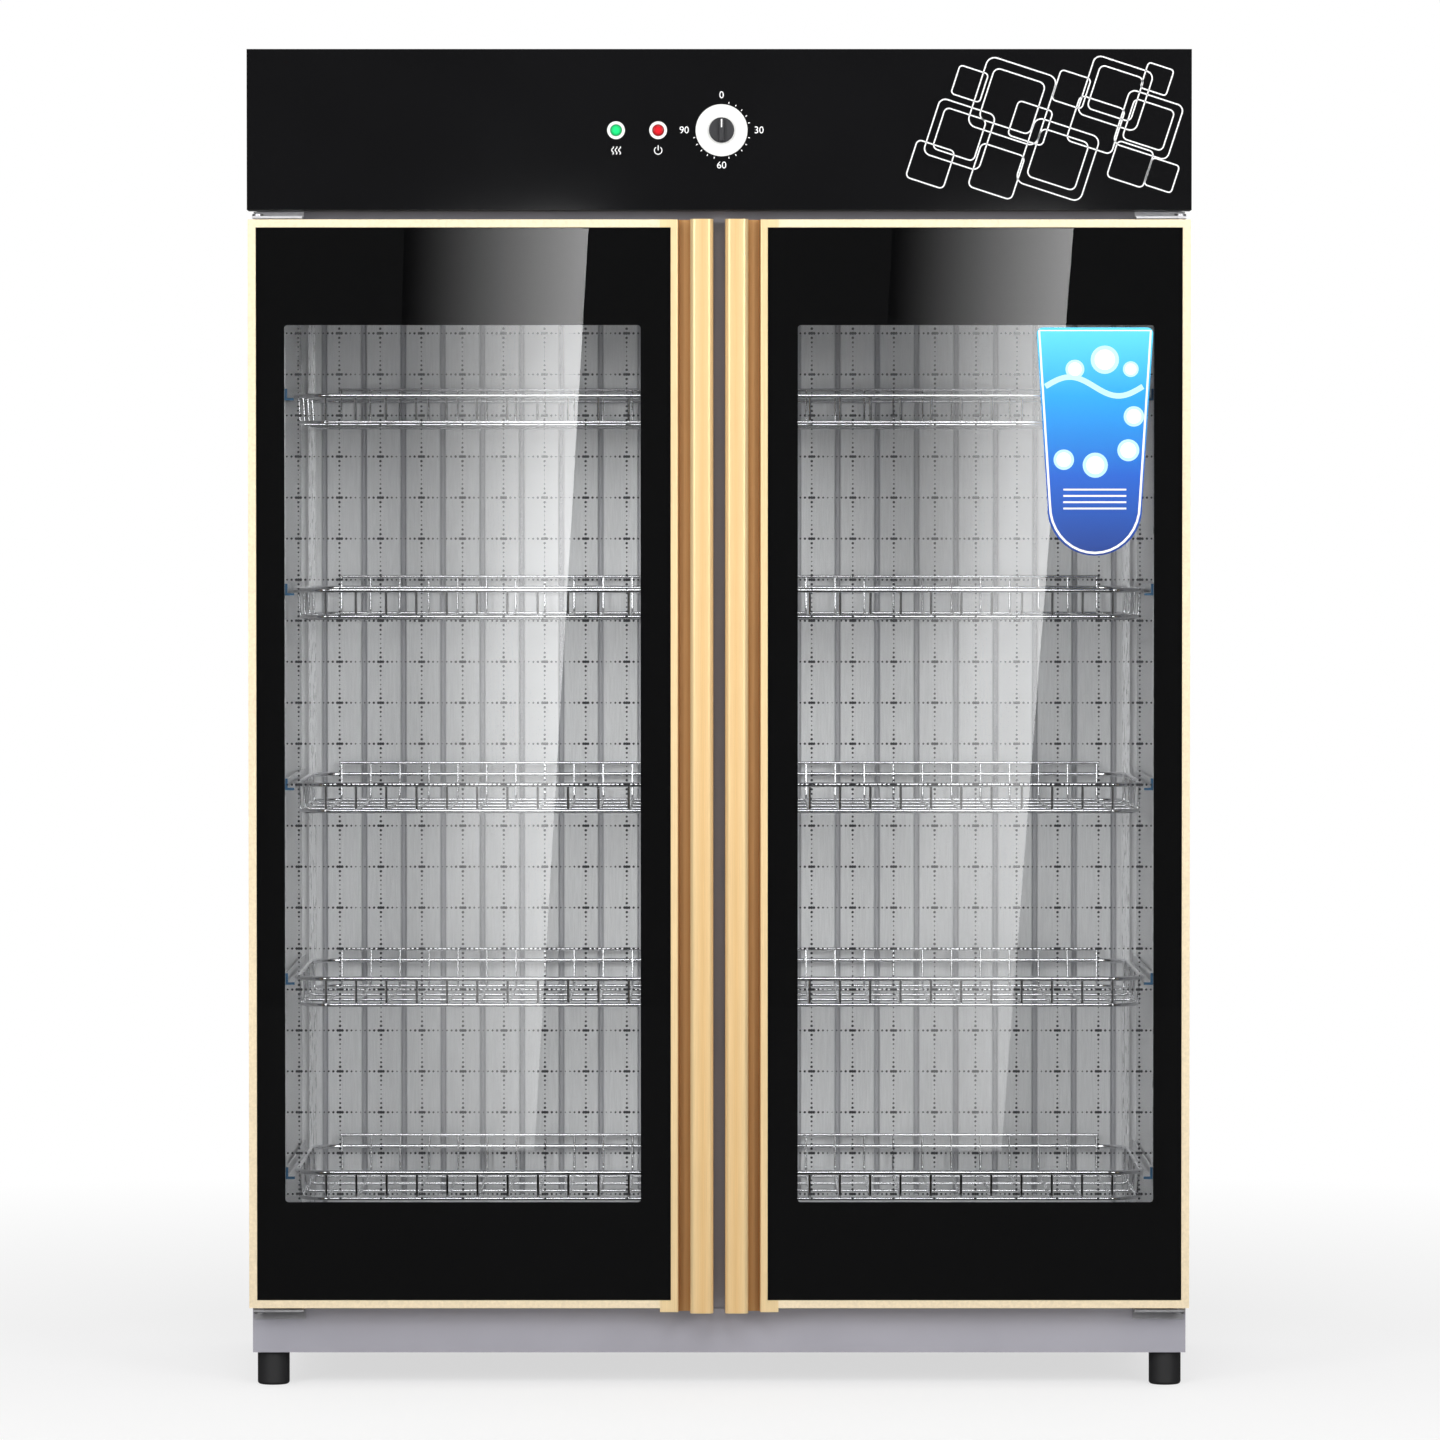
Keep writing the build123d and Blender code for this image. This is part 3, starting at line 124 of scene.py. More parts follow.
# ------------------------------------------------------------------ zinc and stainless pieces
# The back sheet, brackets, pins and screws are zinc plated. The chamber's liners, posts and
# runners are brushed stainless steel, with long fine brush lines.
def brushed(name, colour, roughness, stretch, metallic=1.0, scale=60.0):
    """Brushed metal: streaks stretched along one axis drive colour, gloss and relief."""
    material, tree, surface, mapping = shader(name)
    mapping.inputs["Scale"].default_value = stretch
    streaks = noise(tree, mapping, scale, 6.0)
    dark = tuple(c * 0.88 for c in colour)
    tint = ramp(tree, streaks.outputs["Fac"], [(0.3, dark), (0.7, colour)])
    tree.links.new(tint.outputs["Color"], surface.inputs["Base Color"])
    gloss = tree.nodes.new("ShaderNodeMapRange")
    gloss.inputs["To Min"].default_value = roughness * 0.75
    gloss.inputs["To Max"].default_value = roughness * 1.3
    tree.links.new(streaks.outputs["Fac"], gloss.inputs["Value"])
    tree.links.new(gloss.outputs["Result"], surface.inputs["Roughness"])
    surface.inputs["Metallic"].default_value = metallic
    grain_bump(tree, surface, streaks.outputs["Fac"], 0.08, 0.0003)
    return material


zinc = brushed("zinc_plate", (0.62, 0.62, 0.64), 0.38, (1, 1, 1), scale=90.0)
dress(zinc, "zinc_steel", "rear_panel", "hinge_brackets", "hinge_pins", "screws", "fan_wheel")
liner_steel = brushed("liner_steel", (0.92, 0.92, 0.93), 0.42, (12, 12, 0.6), metallic=0.12)
dress(
    liner_steel, "stainless", "side_liners", "floor_liner", "ceiling_liner", "fan_grille", "heater_guard",
)


def multiply_tint(tree, surface, factor_colour):
    """Multiply what colours a surface by another colour."""
    tint = surface.inputs["Base Color"].links[0].from_socket
    product = tree.nodes.new("ShaderNodeMix")
    product.data_type = "RGBA"
    product.blend_type = "MULTIPLY"
    product.inputs["Factor"].default_value = 1.0
    tree.links.new(tint, product.inputs[6])
    tree.links.new(factor_colour, product.inputs[7])
    tree.links.new(product.outputs[2], surface.inputs["Base Color"])


# Painted shade: the back sheet's pressed grooves are coloured darker than its flat faces, more so the deeper they
# go.
groove_shaded_back_steel = brushed("back_liner_painted_groove_shade", (0.92, 0.92, 0.93), 0.42, (12, 12, 0.6), metallic=0.12)
back_low, back_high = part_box("back_liner")
tree = groove_shaded_back_steel.node_tree
place = tree.nodes.new("ShaderNodeTexCoord")
parts = tree.nodes.new("ShaderNodeSeparateXYZ")
into_groove = tree.nodes.new("ShaderNodeMapRange")
into_groove.inputs["From Min"].default_value = back_low.y
into_groove.inputs["From Max"].default_value = back_high.y
tree.links.new(place.outputs["Object"], parts.inputs["Vector"])
tree.links.new(parts.outputs["Y"], into_groove.inputs["Value"])
# Painted shade: grey multiplied into the colour towards the depth of the grooves.
groove_shade_then_label_film = ramp(tree, into_groove.outputs["Result"], [(0.15, (1, 1, 1)), (0.70, (0.58, 0.58, 0.60))])
multiply_tint(tree, tree.nodes["Principled BSDF"], groove_shade_then_label_film.outputs["Color"])
dress(groove_shaded_back_steel, "stainless", "back_liner")
post_steel = brushed("post_steel", (0.90, 0.90, 0.91), 0.28, (20, 20, 0.8), metallic=0.6)
dress(post_steel, "stainless", "rack_posts", "basket_runners", "heating_elements")


# ------------------------------------------------------------------ chrome wire baskets
# Ten welded baskets of bright chromed steel wire. The plating is mirror smooth, with slight
# waviness and faint water marks.
chrome = brushed("bright_wire", (0.80, 0.80, 0.82), 0.14, (1, 1, 1), scale=35.0)
for side in ("left", "right"):
    for level in range(1, 6):
        dress(chrome, "bright_wire", f"{side}_basket_{level}")

# ------------------------------------------------------------------ gold door frames
# The door frames and handle stiles are extruded aluminium, anodised pale gold. Extrusion lines
# run along each length, and the finish is satin.
gold = brushed("gold_anodised", (0.93, 0.74, 0.46), 0.34, (60, 60, 0.5), metallic=0.45, scale=20.0)
gold_frame = brushed("pale_gold_frame", (0.95, 0.80, 0.56), 0.36, (30, 30, 30), metallic=0.4, scale=10.0)
# Painted shade: the finger groove's floor and walls are darkened to bronze by position across the stile, and the
# ridge and lip beside it get painted lighter and darker cream bands.
tree = gold.node_tree
gold_surface = tree.nodes["Principled BSDF"]
place = tree.nodes.new("ShaderNodeTexCoord")
parts = tree.nodes.new("ShaderNodeSeparateXYZ")
tree.links.new(place.outputs["Object"], parts.inputs["Vector"])
from_middle = tree.nodes.new("ShaderNodeMath")
from_middle.operation = "ABSOLUTE"
tree.links.new(parts.outputs["X"], from_middle.inputs[0])
across = tree.nodes.new("ShaderNodeMapRange")
across.inputs["From Min"].default_value = 0.0075
across.inputs["From Max"].default_value = 0.0625
tree.links.new(from_middle.outputs["Value"], across.inputs["Value"])
# Painted light and shade: colour bands set by position across the stile's width.
painted_shade_bands = ramp(
    tree, across.outputs["Result"],
    [
        (0.0, (1.0, 0.93, 0.80)), (0.25, (0.92, 0.76, 0.55)), (0.52, (1.0, 0.95, 0.84)),
        (0.545, (0.50, 0.30, 0.15)), (0.66, (0.62, 0.42, 0.25)), (0.79, (0.46, 0.26, 0.12)),
        (0.82, (1.0, 0.94, 0.82)), (1.0, (1.0, 0.96, 0.86)),
    ],
)
multiply_tint(tree, gold_surface, painted_shade_bands.outputs["Color"])
for side in ("left", "right"):
    dress(gold, "gold_aluminium", f"{side}_handle_stile", f"{side}_handle_caps")
    dress(gold_frame, "gold_aluminium", f"{side}_door_frame")

# ------------------------------------------------------------------ rubber and plastics
# Feet and seals are rubber. The timer, cut-out and gland are black moulded plastic, the bezels,
# dial and terminal block white, the runner caps blue. The motor is painted, the wool is loose.
rubber = coated("foot_rubber", (0.012, 0.012, 0.013), 0.55, 500.0)
dress(rubber, "black_rubber", "feet")
seal = coated("seal_rubber", (0.30, 0.30, 0.32), 0.6, 400.0)
dress(seal, "seal_rubber", "left_door_gasket", "right_door_gasket")
black_plastic = coated("black_plastic", (0.018, 0.018, 0.022), 0.38, 1200.0)
dress(black_plastic, "black_plastic", "timer_body", "timer_knob", "thermostat", "cord_gland")
white_plastic = coated("white_plastic", (0.86, 0.86, 0.84), 0.22, 1500.0, spread=0.02)
dress(white_plastic, "white_plastic", "lamp_bezels", "timer_dial", "terminal_block")
dress(coated("cap_plastic", (0.05, 0.16, 0.30), 0.3), "blue_plastic", "runner_caps")
dress(coated("motor_paint", (0.06, 0.06, 0.07), 0.45), "motor_steel", "fan_motor")
wool = coated("mineral_wool", (0.62, 0.52, 0.26), 0.95, 160.0, spread=0.25)
dress(wool, "mineral_wool", "insulation_slabs")

# ------------------------------------------------------------------ fascia
# A folded black tray carries a pane of black glass. The glass is smooth, with a faint ripple.
fascia_black = coated("fascia_glass", (0.0035, 0.0035, 0.004), 0.06, 8.0, spread=0.1)
dress(fascia_black, "black_glass", "fascia_glass")
dress(coated("tray_paint", (0.015, 0.015, 0.016), 0.4), "black_metal", "fascia_tray")


# ------------------------------------------------------------------ lamps
# Two round lenses in white rings: a green one and a red one, lit from behind. The lens shows a
# bright middle and a darker rim.
def lamp_lens(name, rim, middle, lens_node, glow):
    """Coloured lens with a hot middle, shaded by the distance from its own axis."""
    material, tree, surface, mapping = shader(name)
    low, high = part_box(lens_node)
    centre = (low + high) / 2
    mapping.inputs["Location"].default_value = (-centre.x, 0, -centre.z)
    mapping.inputs["Scale"].default_value = (1, 0, 1)
    distance = tree.nodes.new("ShaderNodeVectorMath")
    distance.operation = "LENGTH"
    tree.links.new(mapping.outputs["Vector"], distance.inputs[0])
    span = tree.nodes.new("ShaderNodeMapRange")
    span.inputs["From Max"].default_value = (high.x - low.x) / 2
    tree.links.new(distance.outputs["Value"], span.inputs["Value"])
    tint = ramp(tree, span.outputs["Result"], [(0.25, middle), (0.95, rim)])
    tree.links.new(tint.outputs["Color"], surface.inputs["Base Color"])
    tree.links.new(tint.outputs["Color"], surface.inputs["Emission Color"])
    surface.inputs["Emission Strength"].default_value = glow
    surface.inputs["Roughness"].default_value = 0.12
    return material


green = lamp_lens("green_lens", (0.0, 0.22, 0.06), (0.01, 0.75, 0.20), "green_lamp_lens", 0.3)
red = lamp_lens("red_lens", (0.18, 0.0, 0.0), (0.70, 0.01, 0.02), "red_lamp_lens", 0.25)
dress(green, "green_lens", "green_lamp_lens")
dress(red, "red_lens", "red_lamp_lens")


# ------------------------------------------------------------------ door glass
# Tempered clear panes. The border is printed black on the back of each pane, so its gloss comes
# from the glass in front. The pane lets light through and reflects more at grazing angles.
def clear_glass():
    """Thin clear pane: straight transmission mixed with a mirror by Fresnel."""
    material = bpy.data.materials.new("door_glass")
    material.use_nodes = True
    tree = material.node_tree
    tree.nodes.remove(tree.nodes["Principled BSDF"])
    through = tree.nodes.new("ShaderNodeBsdfTransparent")
    through.inputs["Color"].default_value = (0.985, 0.99, 0.99, 1)
    mirror = tree.nodes.new("ShaderNodeBsdfGlossy")
    mirror.inputs["Roughness"].default_value = 0.0
    fresnel = tree.nodes.new("ShaderNodeFresnel")
    fresnel.inputs["IOR"].default_value = 1.5
    mix = tree.nodes.new("ShaderNodeMixShader")
    tree.links.new(fresnel.outputs["Fac"], mix.inputs["Fac"])
    tree.links.new(through.outputs["BSDF"], mix.inputs[1])
    tree.links.new(mirror.outputs["BSDF"], mix.inputs[2])
    tree.links.new(mix.outputs["Shader"], tree.nodes["Material Output"].inputs["Surface"])
    return material


pane = clear_glass()
border_ink = coated("border_ink", (0.0015, 0.0015, 0.0018), 0.6, 60.0, spread=0.15)
border_ink.node_tree.nodes["Principled BSDF"].inputs["Specular IOR Level"].default_value = 0.03
for side in ("left", "right"):
    dress(pane, "clear_glass", f"{side}_door_glass")
    dress(border_ink, "black_print", f"{side}_glass_border")


# ------------------------------------------------------------------ dotted print on the windows
# Each window carries a fine printed grid: dotted lines about 52 mm apart, with the dots fullest
# where lines cross. The ink lies on the back of the glass.
def dot_grid_tree():
    """Geometry nodes: two sets of dotted lines over a rectangle, dots shrinking between crossings."""
    tree = bpy.data.node_groups.new("dotted_window_print", "GeometryNodeTree")
    for label, kind in (
        ("Width", "NodeSocketFloat"), ("Height", "NodeSocketFloat"), ("Pitch", "NodeSocketFloat"),
        ("Step", "NodeSocketFloat"), ("Dot Radius", "NodeSocketFloat"), ("Ink", "NodeSocketMaterial"),
    ):
        tree.interface.new_socket(label, in_out="INPUT", socket_type=kind)
    tree.interface.new_socket("Geometry", in_out="OUTPUT", socket_type="NodeSocketGeometry")
    make = tree.nodes.new
    link = tree.links.new
    entry = make("NodeGroupInput")
    exit_node = make("NodeGroupOutput")
    disc = make("GeometryNodeMeshCircle")
    disc.fill_type = "NGON"
    disc.inputs["Vertices"].default_value = 6
    link(entry.outputs["Dot Radius"], disc.inputs["Radius"])
    join = make("GeometryNodeJoinGeometry")

    def math_node(operation, first, second):
        node = make("ShaderNodeMath")
        node.operation = operation
        for socket, value in zip(node.inputs, (first, second)):
            if isinstance(value, (int, float)):
                socket.default_value = value
            else:
                link(value, socket)
        return node.outputs["Value"]

    for along in ("Width", "Height"):
        across = "Height" if along == "Width" else "Width"
        grid = make("GeometryNodeMeshGrid")
        run_steps = math_node("DIVIDE", entry.outputs[along], entry.outputs["Step"])
        run_count = math_node("ADD", math_node("FLOOR", run_steps, 0), 1)
        line_steps = math_node("DIVIDE", entry.outputs[across], entry.outputs["Pitch"])
        line_count = math_node("ADD", math_node("FLOOR", line_steps, 0), 1)
        run_length = math_node("MULTIPLY", math_node("SUBTRACT", run_count, 1), entry.outputs["Step"])
        line_span = math_node("MULTIPLY", math_node("SUBTRACT", line_count, 1), entry.outputs["Pitch"])
        run_axis, line_axis = ("X", "Y") if along == "Width" else ("Y", "X")
        link(run_length, grid.inputs[f"Size {run_axis}"])
        link(line_span, grid.inputs[f"Size {line_axis}"])
        link(run_count, grid.inputs[f"Vertices {run_axis}"])
        link(line_count, grid.inputs[f"Vertices {line_axis}"])
        position = make("GeometryNodeInputPosition")
        parts = make("ShaderNodeSeparateXYZ")
        link(position.outputs["Position"], parts.inputs["Vector"])
        cross_steps = math_node("DIVIDE", entry.outputs[along], entry.outputs["Pitch"])
        cross_count = math_node("FLOOR", cross_steps, 0)
        half_span = math_node("MULTIPLY", math_node("MULTIPLY", cross_count, 0.5), entry.outputs["Pitch"])
        shifted = math_node("ADD", parts.outputs[run_axis], half_span)
        half_pitch = math_node("MULTIPLY", entry.outputs["Pitch"], 0.5)
        away = math_node("DIVIDE", math_node("PINGPONG", shifted, half_pitch), half_pitch)
        size = math_node("SUBTRACT", 1.0, math_node("MULTIPLY", away, 0.66))
        place = make("GeometryNodeInstanceOnPoints")
        link(grid.outputs["Mesh"], place.inputs["Points"])
        link(disc.outputs["Mesh"], place.inputs["Instance"])
        link(size, place.inputs["Scale"])
        link(place.outputs["Instances"], join.inputs["Geometry"])
    real = make("GeometryNodeRealizeInstances")
    ink = make("GeometryNodeSetMaterial")
    link(join.outputs["Geometry"], real.inputs["Geometry"])
    link(real.outputs["Geometry"], ink.inputs["Geometry"])
    link(entry.outputs["Ink"], ink.inputs["Material"])
    link(ink.outputs["Geometry"], exit_node.inputs["Geometry"])
    return tree


window_inner_x, window_outer_x = 0.100, 0.553
window_low_z, window_high_z = 0.239, 1.356
print_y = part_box("right_glass_border")[0].y + 0.00005
dot_values = {
    "Width": window_outer_x - window_inner_x - 0.004,
    "Height": window_high_z - window_low_z - 0.004,
    "Pitch": 0.0522,
    "Step": 0.0058,
    "Dot Radius": 0.0021,
}
window_ink = coated("window_ink", (0.02, 0.02, 0.025), 0.5, 300.0)
dot_tree = dot_grid_tree()
for side, sign in (("left", -1), ("right", 1)):
    carrier = bpy.data.objects.new(f"{side}_window_print", bpy.data.meshes.new(f"{side}_window_print"))
    bpy.context.scene.collection.objects.link(carrier)
    modifier = carrier.modifiers.new("dots", "NODES")
    modifier.node_group = dot_tree
    for item in dot_tree.interface.items_tree:
        if item.in_out == "INPUT":
            modifier[item.identifier] = dot_values.get(item.name, window_ink)
    bpy.context.view_layer.update()
    made = carrier.evaluated_get(bpy.context.evaluated_depsgraph_get())
    plain = bpy.data.meshes.new_from_object(made)
    carrier.modifiers.remove(modifier)
    carrier.data = plain
    for vertex in plain.vertices:
        x, z = vertex.co.x, vertex.co.y
        centre_x = sign * (window_inner_x + window_outer_x) / 2
        vertex.co = (centre_x + x, print_y, (window_low_z + window_high_z) / 2 + z)
    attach(carrier, f"{side}_door")


# ------------------------------------------------------------------ printed marks on the fascia
# White screen print on the glass: rounded squares at the right, small signs under the lamps and
# plain numbers round the dial. The print is a thin film of ink.
def strip_mesh(name, outlines, y, width, material):
    """Flat printed lines in the XZ plane: each outline is (points, closed)."""
    mesh = bmesh.new()
    for points, closed in outlines:
        count = len(points)
        rows = []
        for index, (x, z) in enumerate(points):
            before = points[index - 1] if closed or index > 0 else points[0]
            after = points[(index + 1) % count] if closed or index < count - 1 else points[-1]
            along = Vector((after[0] - before[0], after[1] - before[1])).normalized()
            side_x, side_z = -along.y * width / 2, along.x * width / 2
            one_edge = mesh.verts.new((x + side_x, y, z + side_z))
            other_edge = mesh.verts.new((x - side_x, y, z - side_z))
            rows.append((one_edge, other_edge))
        for index in range(count if closed else count - 1):
            first, second = rows[index], rows[(index + 1) % count]
            mesh.faces.new((first[0], second[0], second[1], first[1]))
    bmesh.ops.recalc_face_normals(mesh, faces=mesh.faces)
    data = bpy.data.meshes.new(name)
    mesh.to_mesh(data)
    mesh.free()
    data.materials.append(material)
    piece = bpy.data.objects.new(name, data)
    bpy.context.scene.collection.objects.link(piece)
    return piece


def rounded_square(centre_x, centre_z, size, tilt, corner_share=0.12):
    """Outline of a tilted square with rounded corners."""
    half, corner = size / 2, size * corner_share
    points = []
    for quarter in range(4):
        for step in range(7):
            angle = math.radians(quarter * 90 + step * 15)
            corner_x = (half - corner) * (1 if quarter in (0, 3) else -1)
            corner_z = (half - corner) * (1 if quarter in (0, 1) else -1)
            x, z = corner_x + corner * math.cos(angle), corner_z + corner * math.sin(angle)
            turn = math.radians(tilt)
            points.append((
                centre_x + x * math.cos(turn) - z * math.sin(turn),
                centre_z + x * math.sin(turn) + z * math.cos(turn),
            ))
    return points


ink_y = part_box("fascia_glass")[0].y - 0.0001
white_ink = coated("white_ink", (0.88, 0.88, 0.88), 0.5, 600.0, spread=0.03)
tilt = -18
square_places = [
    (0.268, 1.560, 0.050), (0.305, 1.598, 0.074), (0.352, 1.551, 0.058), (0.372, 1.640, 0.092),
    (0.395, 1.612, 0.046), (0.430, 1.566, 0.086), (0.447, 1.655, 0.040), (0.478, 1.610, 0.060),
    (0.503, 1.650, 0.078), (0.522, 1.560, 0.048), (0.545, 1.610, 0.072), (0.556, 1.668, 0.034),
    (0.318, 1.662, 0.038), (0.562, 1.546, 0.036),
]
outlines = []
for x, z, size in square_places:
    outlines.append((rounded_square(x, z, size, tilt), True))
    if size > 0.07:
        outlines.append((rounded_square(x, z, size * 0.74, tilt), True))
line_art = strip_mesh("fascia_squares_print", outlines, ink_y, 0.0017, white_ink)
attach(line_art, "cabinet")

lamp_sign_z = 1.5775
green_lamp_x, red_lamp_x = -0.131, -0.0775
dial_x, dial_z = 0.003, 1.603
sign_lines = []
for offset in (-0.0045, 0.0, 0.0045):
    wave = [
        (green_lamp_x + offset + 0.0013 * math.sin(step * math.pi / 4), lamp_sign_z - 0.005 + step * 0.0009)
        for step in range(12)
    ]
    sign_lines.append((wave, False))
ring_radius = 0.0048
power_ring = []
for step in range(30):
    turn = math.radians(35 + step * 10)
    power_ring.append((red_lamp_x + ring_radius * math.sin(turn), lamp_sign_z + ring_radius * math.cos(turn)))
sign_lines.append((power_ring, False))
sign_lines.append(([(red_lamp_x, lamp_sign_z + 0.0065), (red_lamp_x, lamp_sign_z)], False))
tick_inner, tick_outer = 0.0350, 0.0372
for degrees in range(0, 271, 15):
    if degrees % 90 == 0:
        continue
    turn = math.radians(degrees)
    tick = [
        (dial_x + radius * math.sin(turn), dial_z + radius * math.cos(turn)) for radius in (tick_inner, tick_outer)
    ]
    sign_lines.append((tick, False))
signs = strip_mesh("fascia_signs_print", sign_lines, ink_y, 0.0011, white_ink)
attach(signs, "cabinet")

for text, x, z in (
    ("0", dial_x, 1.6475), ("30", 0.0505, dial_z), ("60", dial_x, 1.5585), ("90", -0.0445, dial_z),
):
    curve = bpy.data.curves.new("dial_number", "FONT")
    curve.body = text
    curve.size = 0.0125
    curve.align_x = "CENTER"
    curve.align_y = "CENTER"
    source = bpy.data.objects.new("dial_number", curve)
    bpy.context.scene.collection.objects.link(source)
    bpy.context.view_layer.update()
    flat = bpy.data.meshes.new_from_object(source.evaluated_get(bpy.context.evaluated_depsgraph_get()))
    bpy.data.objects.remove(source)
    for vertex in flat.vertices:
        vertex.co = (x + vertex.co.x, ink_y, z + vertex.co.y)
    flat.materials.clear()
    flat.materials.append(white_ink)
    number = bpy.data.objects.new(f"dial_number_{text}", flat)
    bpy.context.scene.collection.objects.link(number)
    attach(number, "cabinet")

# ------------------------------------------------------------------ knob pointer
# A thin white line is pad printed on the knob's grip bar and points at the number.
knob_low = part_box("timer_knob")[0]
pointer = strip_mesh(
    "knob_pointer_print", [([(dial_x, 1.606), (dial_x, 1.6165)], False)], knob_low.y - 0.0001, 0.0016, white_ink
)
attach(pointer, "timer_knob")

# ------------------------------------------------------------------ door label
# A film label stuck on the right pane: sky blue at the top, deep blue at its round foot, with a
# white edge line, a pale wave and a few plain discs and bars.
label_low, label_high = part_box("door_label")
groove_shade_then_label_film, tree, surface, mapping = shader("label_film")
mapping.inputs["Location"].default_value = (0, 0, -label_low.z / (label_high.z - label_low.z))
mapping.inputs["Scale"].default_value = (1, 1, 1 / (label_high.z - label_low.z))
parts = tree.nodes.new("ShaderNodeSeparateXYZ")
tree.links.new(mapping.outputs["Vector"], parts.inputs["Vector"])
blues = ramp(
    tree, parts.outputs["Z"],
    [
        (0.0, (0.004, 0.035, 0.22)), (0.35, (0.006, 0.10, 0.52)),
        (0.7, (0.01, 0.32, 0.78)), (1.0, (0.10, 0.62, 0.90)),
    ],
)
tree.links.new(blues.outputs["Color"], surface.inputs["Base Color"])
surface.inputs["Roughness"].default_value = 0.25
dress(groove_shade_then_label_film, "label_film", "door_label")

label_ink_y = label_low.y - 0.0001
label_x = (label_low.x + label_high.x) / 2
half_top = (label_high.x - label_low.x) / 2 - 0.003
half_foot = 0.057
shoulder_z = label_high.z - 0.226
edge_line = [(label_x - half_top, label_high.z - 0.004), (label_x + half_top, label_high.z - 0.004)]
for step in range(19):
    angle = math.pi * step / 18
    edge_line.append((label_x + half_foot * math.cos(angle), shoulder_z - 0.0605 * math.sin(angle)))
edge = strip_mesh("label_edge_print", [(edge_line, True)], label_ink_y, 0.0028, white_ink)
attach(edge, "right_door")

pale_ink = coated("pale_blue_ink", (0.45, 0.78, 0.92), 0.4, 600.0)
wave = []
for step in range(31):
    wave_x = label_x - half_top + 0.008 + step * (2 * half_top - 0.018) / 30
    wave.append((wave_x, label_high.z - 0.075 + 0.012 * math.sin(step / 30 * 2 * math.pi)))
bar_half = 0.040
bar_heights = [shoulder_z + above for above in (0.020, 0.012, 0.004, -0.004)]
bars = [([(label_x - bar_half, z), (label_x + bar_half, z)], False) for z in bar_heights]
waves = strip_mesh("label_wave_print", [(wave, False)], label_ink_y - 0.00005, 0.007, pale_ink)
lines = strip_mesh("label_lines_print", bars, label_ink_y - 0.00005, 0.0022, white_ink)


def discs(name, places, y, material):
    """Flat printed discs."""
    mesh = bmesh.new()
    for x, z, radius in places:
        turns = [step * math.pi / 14 for step in range(28)]
        ring = [mesh.verts.new((x + radius * math.cos(turn), y, z + radius * math.sin(turn))) for turn in turns]
        mesh.faces.new(ring)
    data = bpy.data.meshes.new(name)
    mesh.to_mesh(data)
    mesh.free()
    data.materials.append(material)
    piece = bpy.data.objects.new(name, data)
    bpy.context.scene.collection.objects.link(piece)
    return piece


bubble_places = [
    (0.438, 1.185, 0.013), (0.478, 1.178, 0.016), (0.520, 1.197, 0.014), (0.527, 1.240, 0.013),
    (0.452, 1.300, 0.012), (0.490, 1.312, 0.018), (0.523, 1.300, 0.010),
]
bubbles = discs("label_bubbles_print", bubble_places, label_ink_y - 0.0001, pale_ink)
bubble_middles = [(x, z, radius * 0.72) for x, z, radius in bubble_places]
middles = discs("label_bubble_middles_print", bubble_middles, label_ink_y - 0.00015, white_ink)
for piece in (waves, lines, bubbles, middles):
    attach(piece, "right_door")

# ------------------------------------------------------------------ floor, light and camera
# Stage only: a pale floor, soft lamps, two slanted reflector cards whose mirror images make the
# light bands on the black glass, and a camera a long way in front of the cabinet.
floor_mesh = bpy.data.meshes.new("studio_floor")
floor_mesh.from_pydata([(-8, -8, 0), (8, -8, 0), (8, 8, 0), (-8, 8, 0)], [], [(0, 1, 2, 3)])
floor = bpy.data.objects.new("studio_floor", floor_mesh)
bpy.context.scene.collection.objects.link(floor)
floor_paint = bpy.data.materials.new("studio_floor")
floor_paint.use_nodes = True
floor_paint.node_tree.nodes["Principled BSDF"].inputs["Base Color"].default_value = (1, 1, 1, 1)
floor_paint.node_tree.nodes["Principled BSDF"].inputs["Roughness"].default_value = 0.9
tree = floor_paint.node_tree
seen_ray = tree.nodes.new("ShaderNodeLightPath")
share = tree.nodes.new("ShaderNodeMath")
share.operation = "MULTIPLY"
ground = tree.nodes.new("ShaderNodeTexCoord")
ground_reach = tree.nodes.new("ShaderNodeVectorMath")
ground_reach.operation = "LENGTH"
fade = tree.nodes.new("ShaderNodeMapRange")
fade.inputs["From Min"].default_value = 1.0
fade.inputs["From Max"].default_value = 3.0
fade.inputs["To Min"].default_value = 0.65
fade.inputs["To Max"].default_value = 1.0
tree.links.new(ground.outputs["Object"], ground_reach.inputs[0])
tree.links.new(ground_reach.outputs["Value"], fade.inputs["Value"])
tree.links.new(fade.outputs["Result"], share.inputs[1])
white_floor = tree.nodes.new("ShaderNodeEmission")
floor_mix = tree.nodes.new("ShaderNodeMixShader")
tree.links.new(seen_ray.outputs["Is Camera Ray"], share.inputs[0])
tree.links.new(share.outputs["Value"], floor_mix.inputs["Fac"])
tree.links.new(tree.nodes["Principled BSDF"].outputs["BSDF"], floor_mix.inputs[1])
tree.links.new(white_floor.outputs["Emission"], floor_mix.inputs[2])
dim_floor = tree.nodes.new("ShaderNodeEmission")
dim_floor.inputs["Strength"].default_value = 0.12
mirror_mix = tree.nodes.new("ShaderNodeMixShader")
tree.links.new(seen_ray.outputs["Is Glossy Ray"], mirror_mix.inputs["Fac"])
tree.links.new(floor_mix.outputs["Shader"], mirror_mix.inputs[1])
tree.links.new(dim_floor.outputs["Emission"], mirror_mix.inputs[2])
tree.links.new(mirror_mix.outputs["Shader"], tree.nodes["Material Output"].inputs["Surface"])
floor_mesh.materials.append(floor_paint)

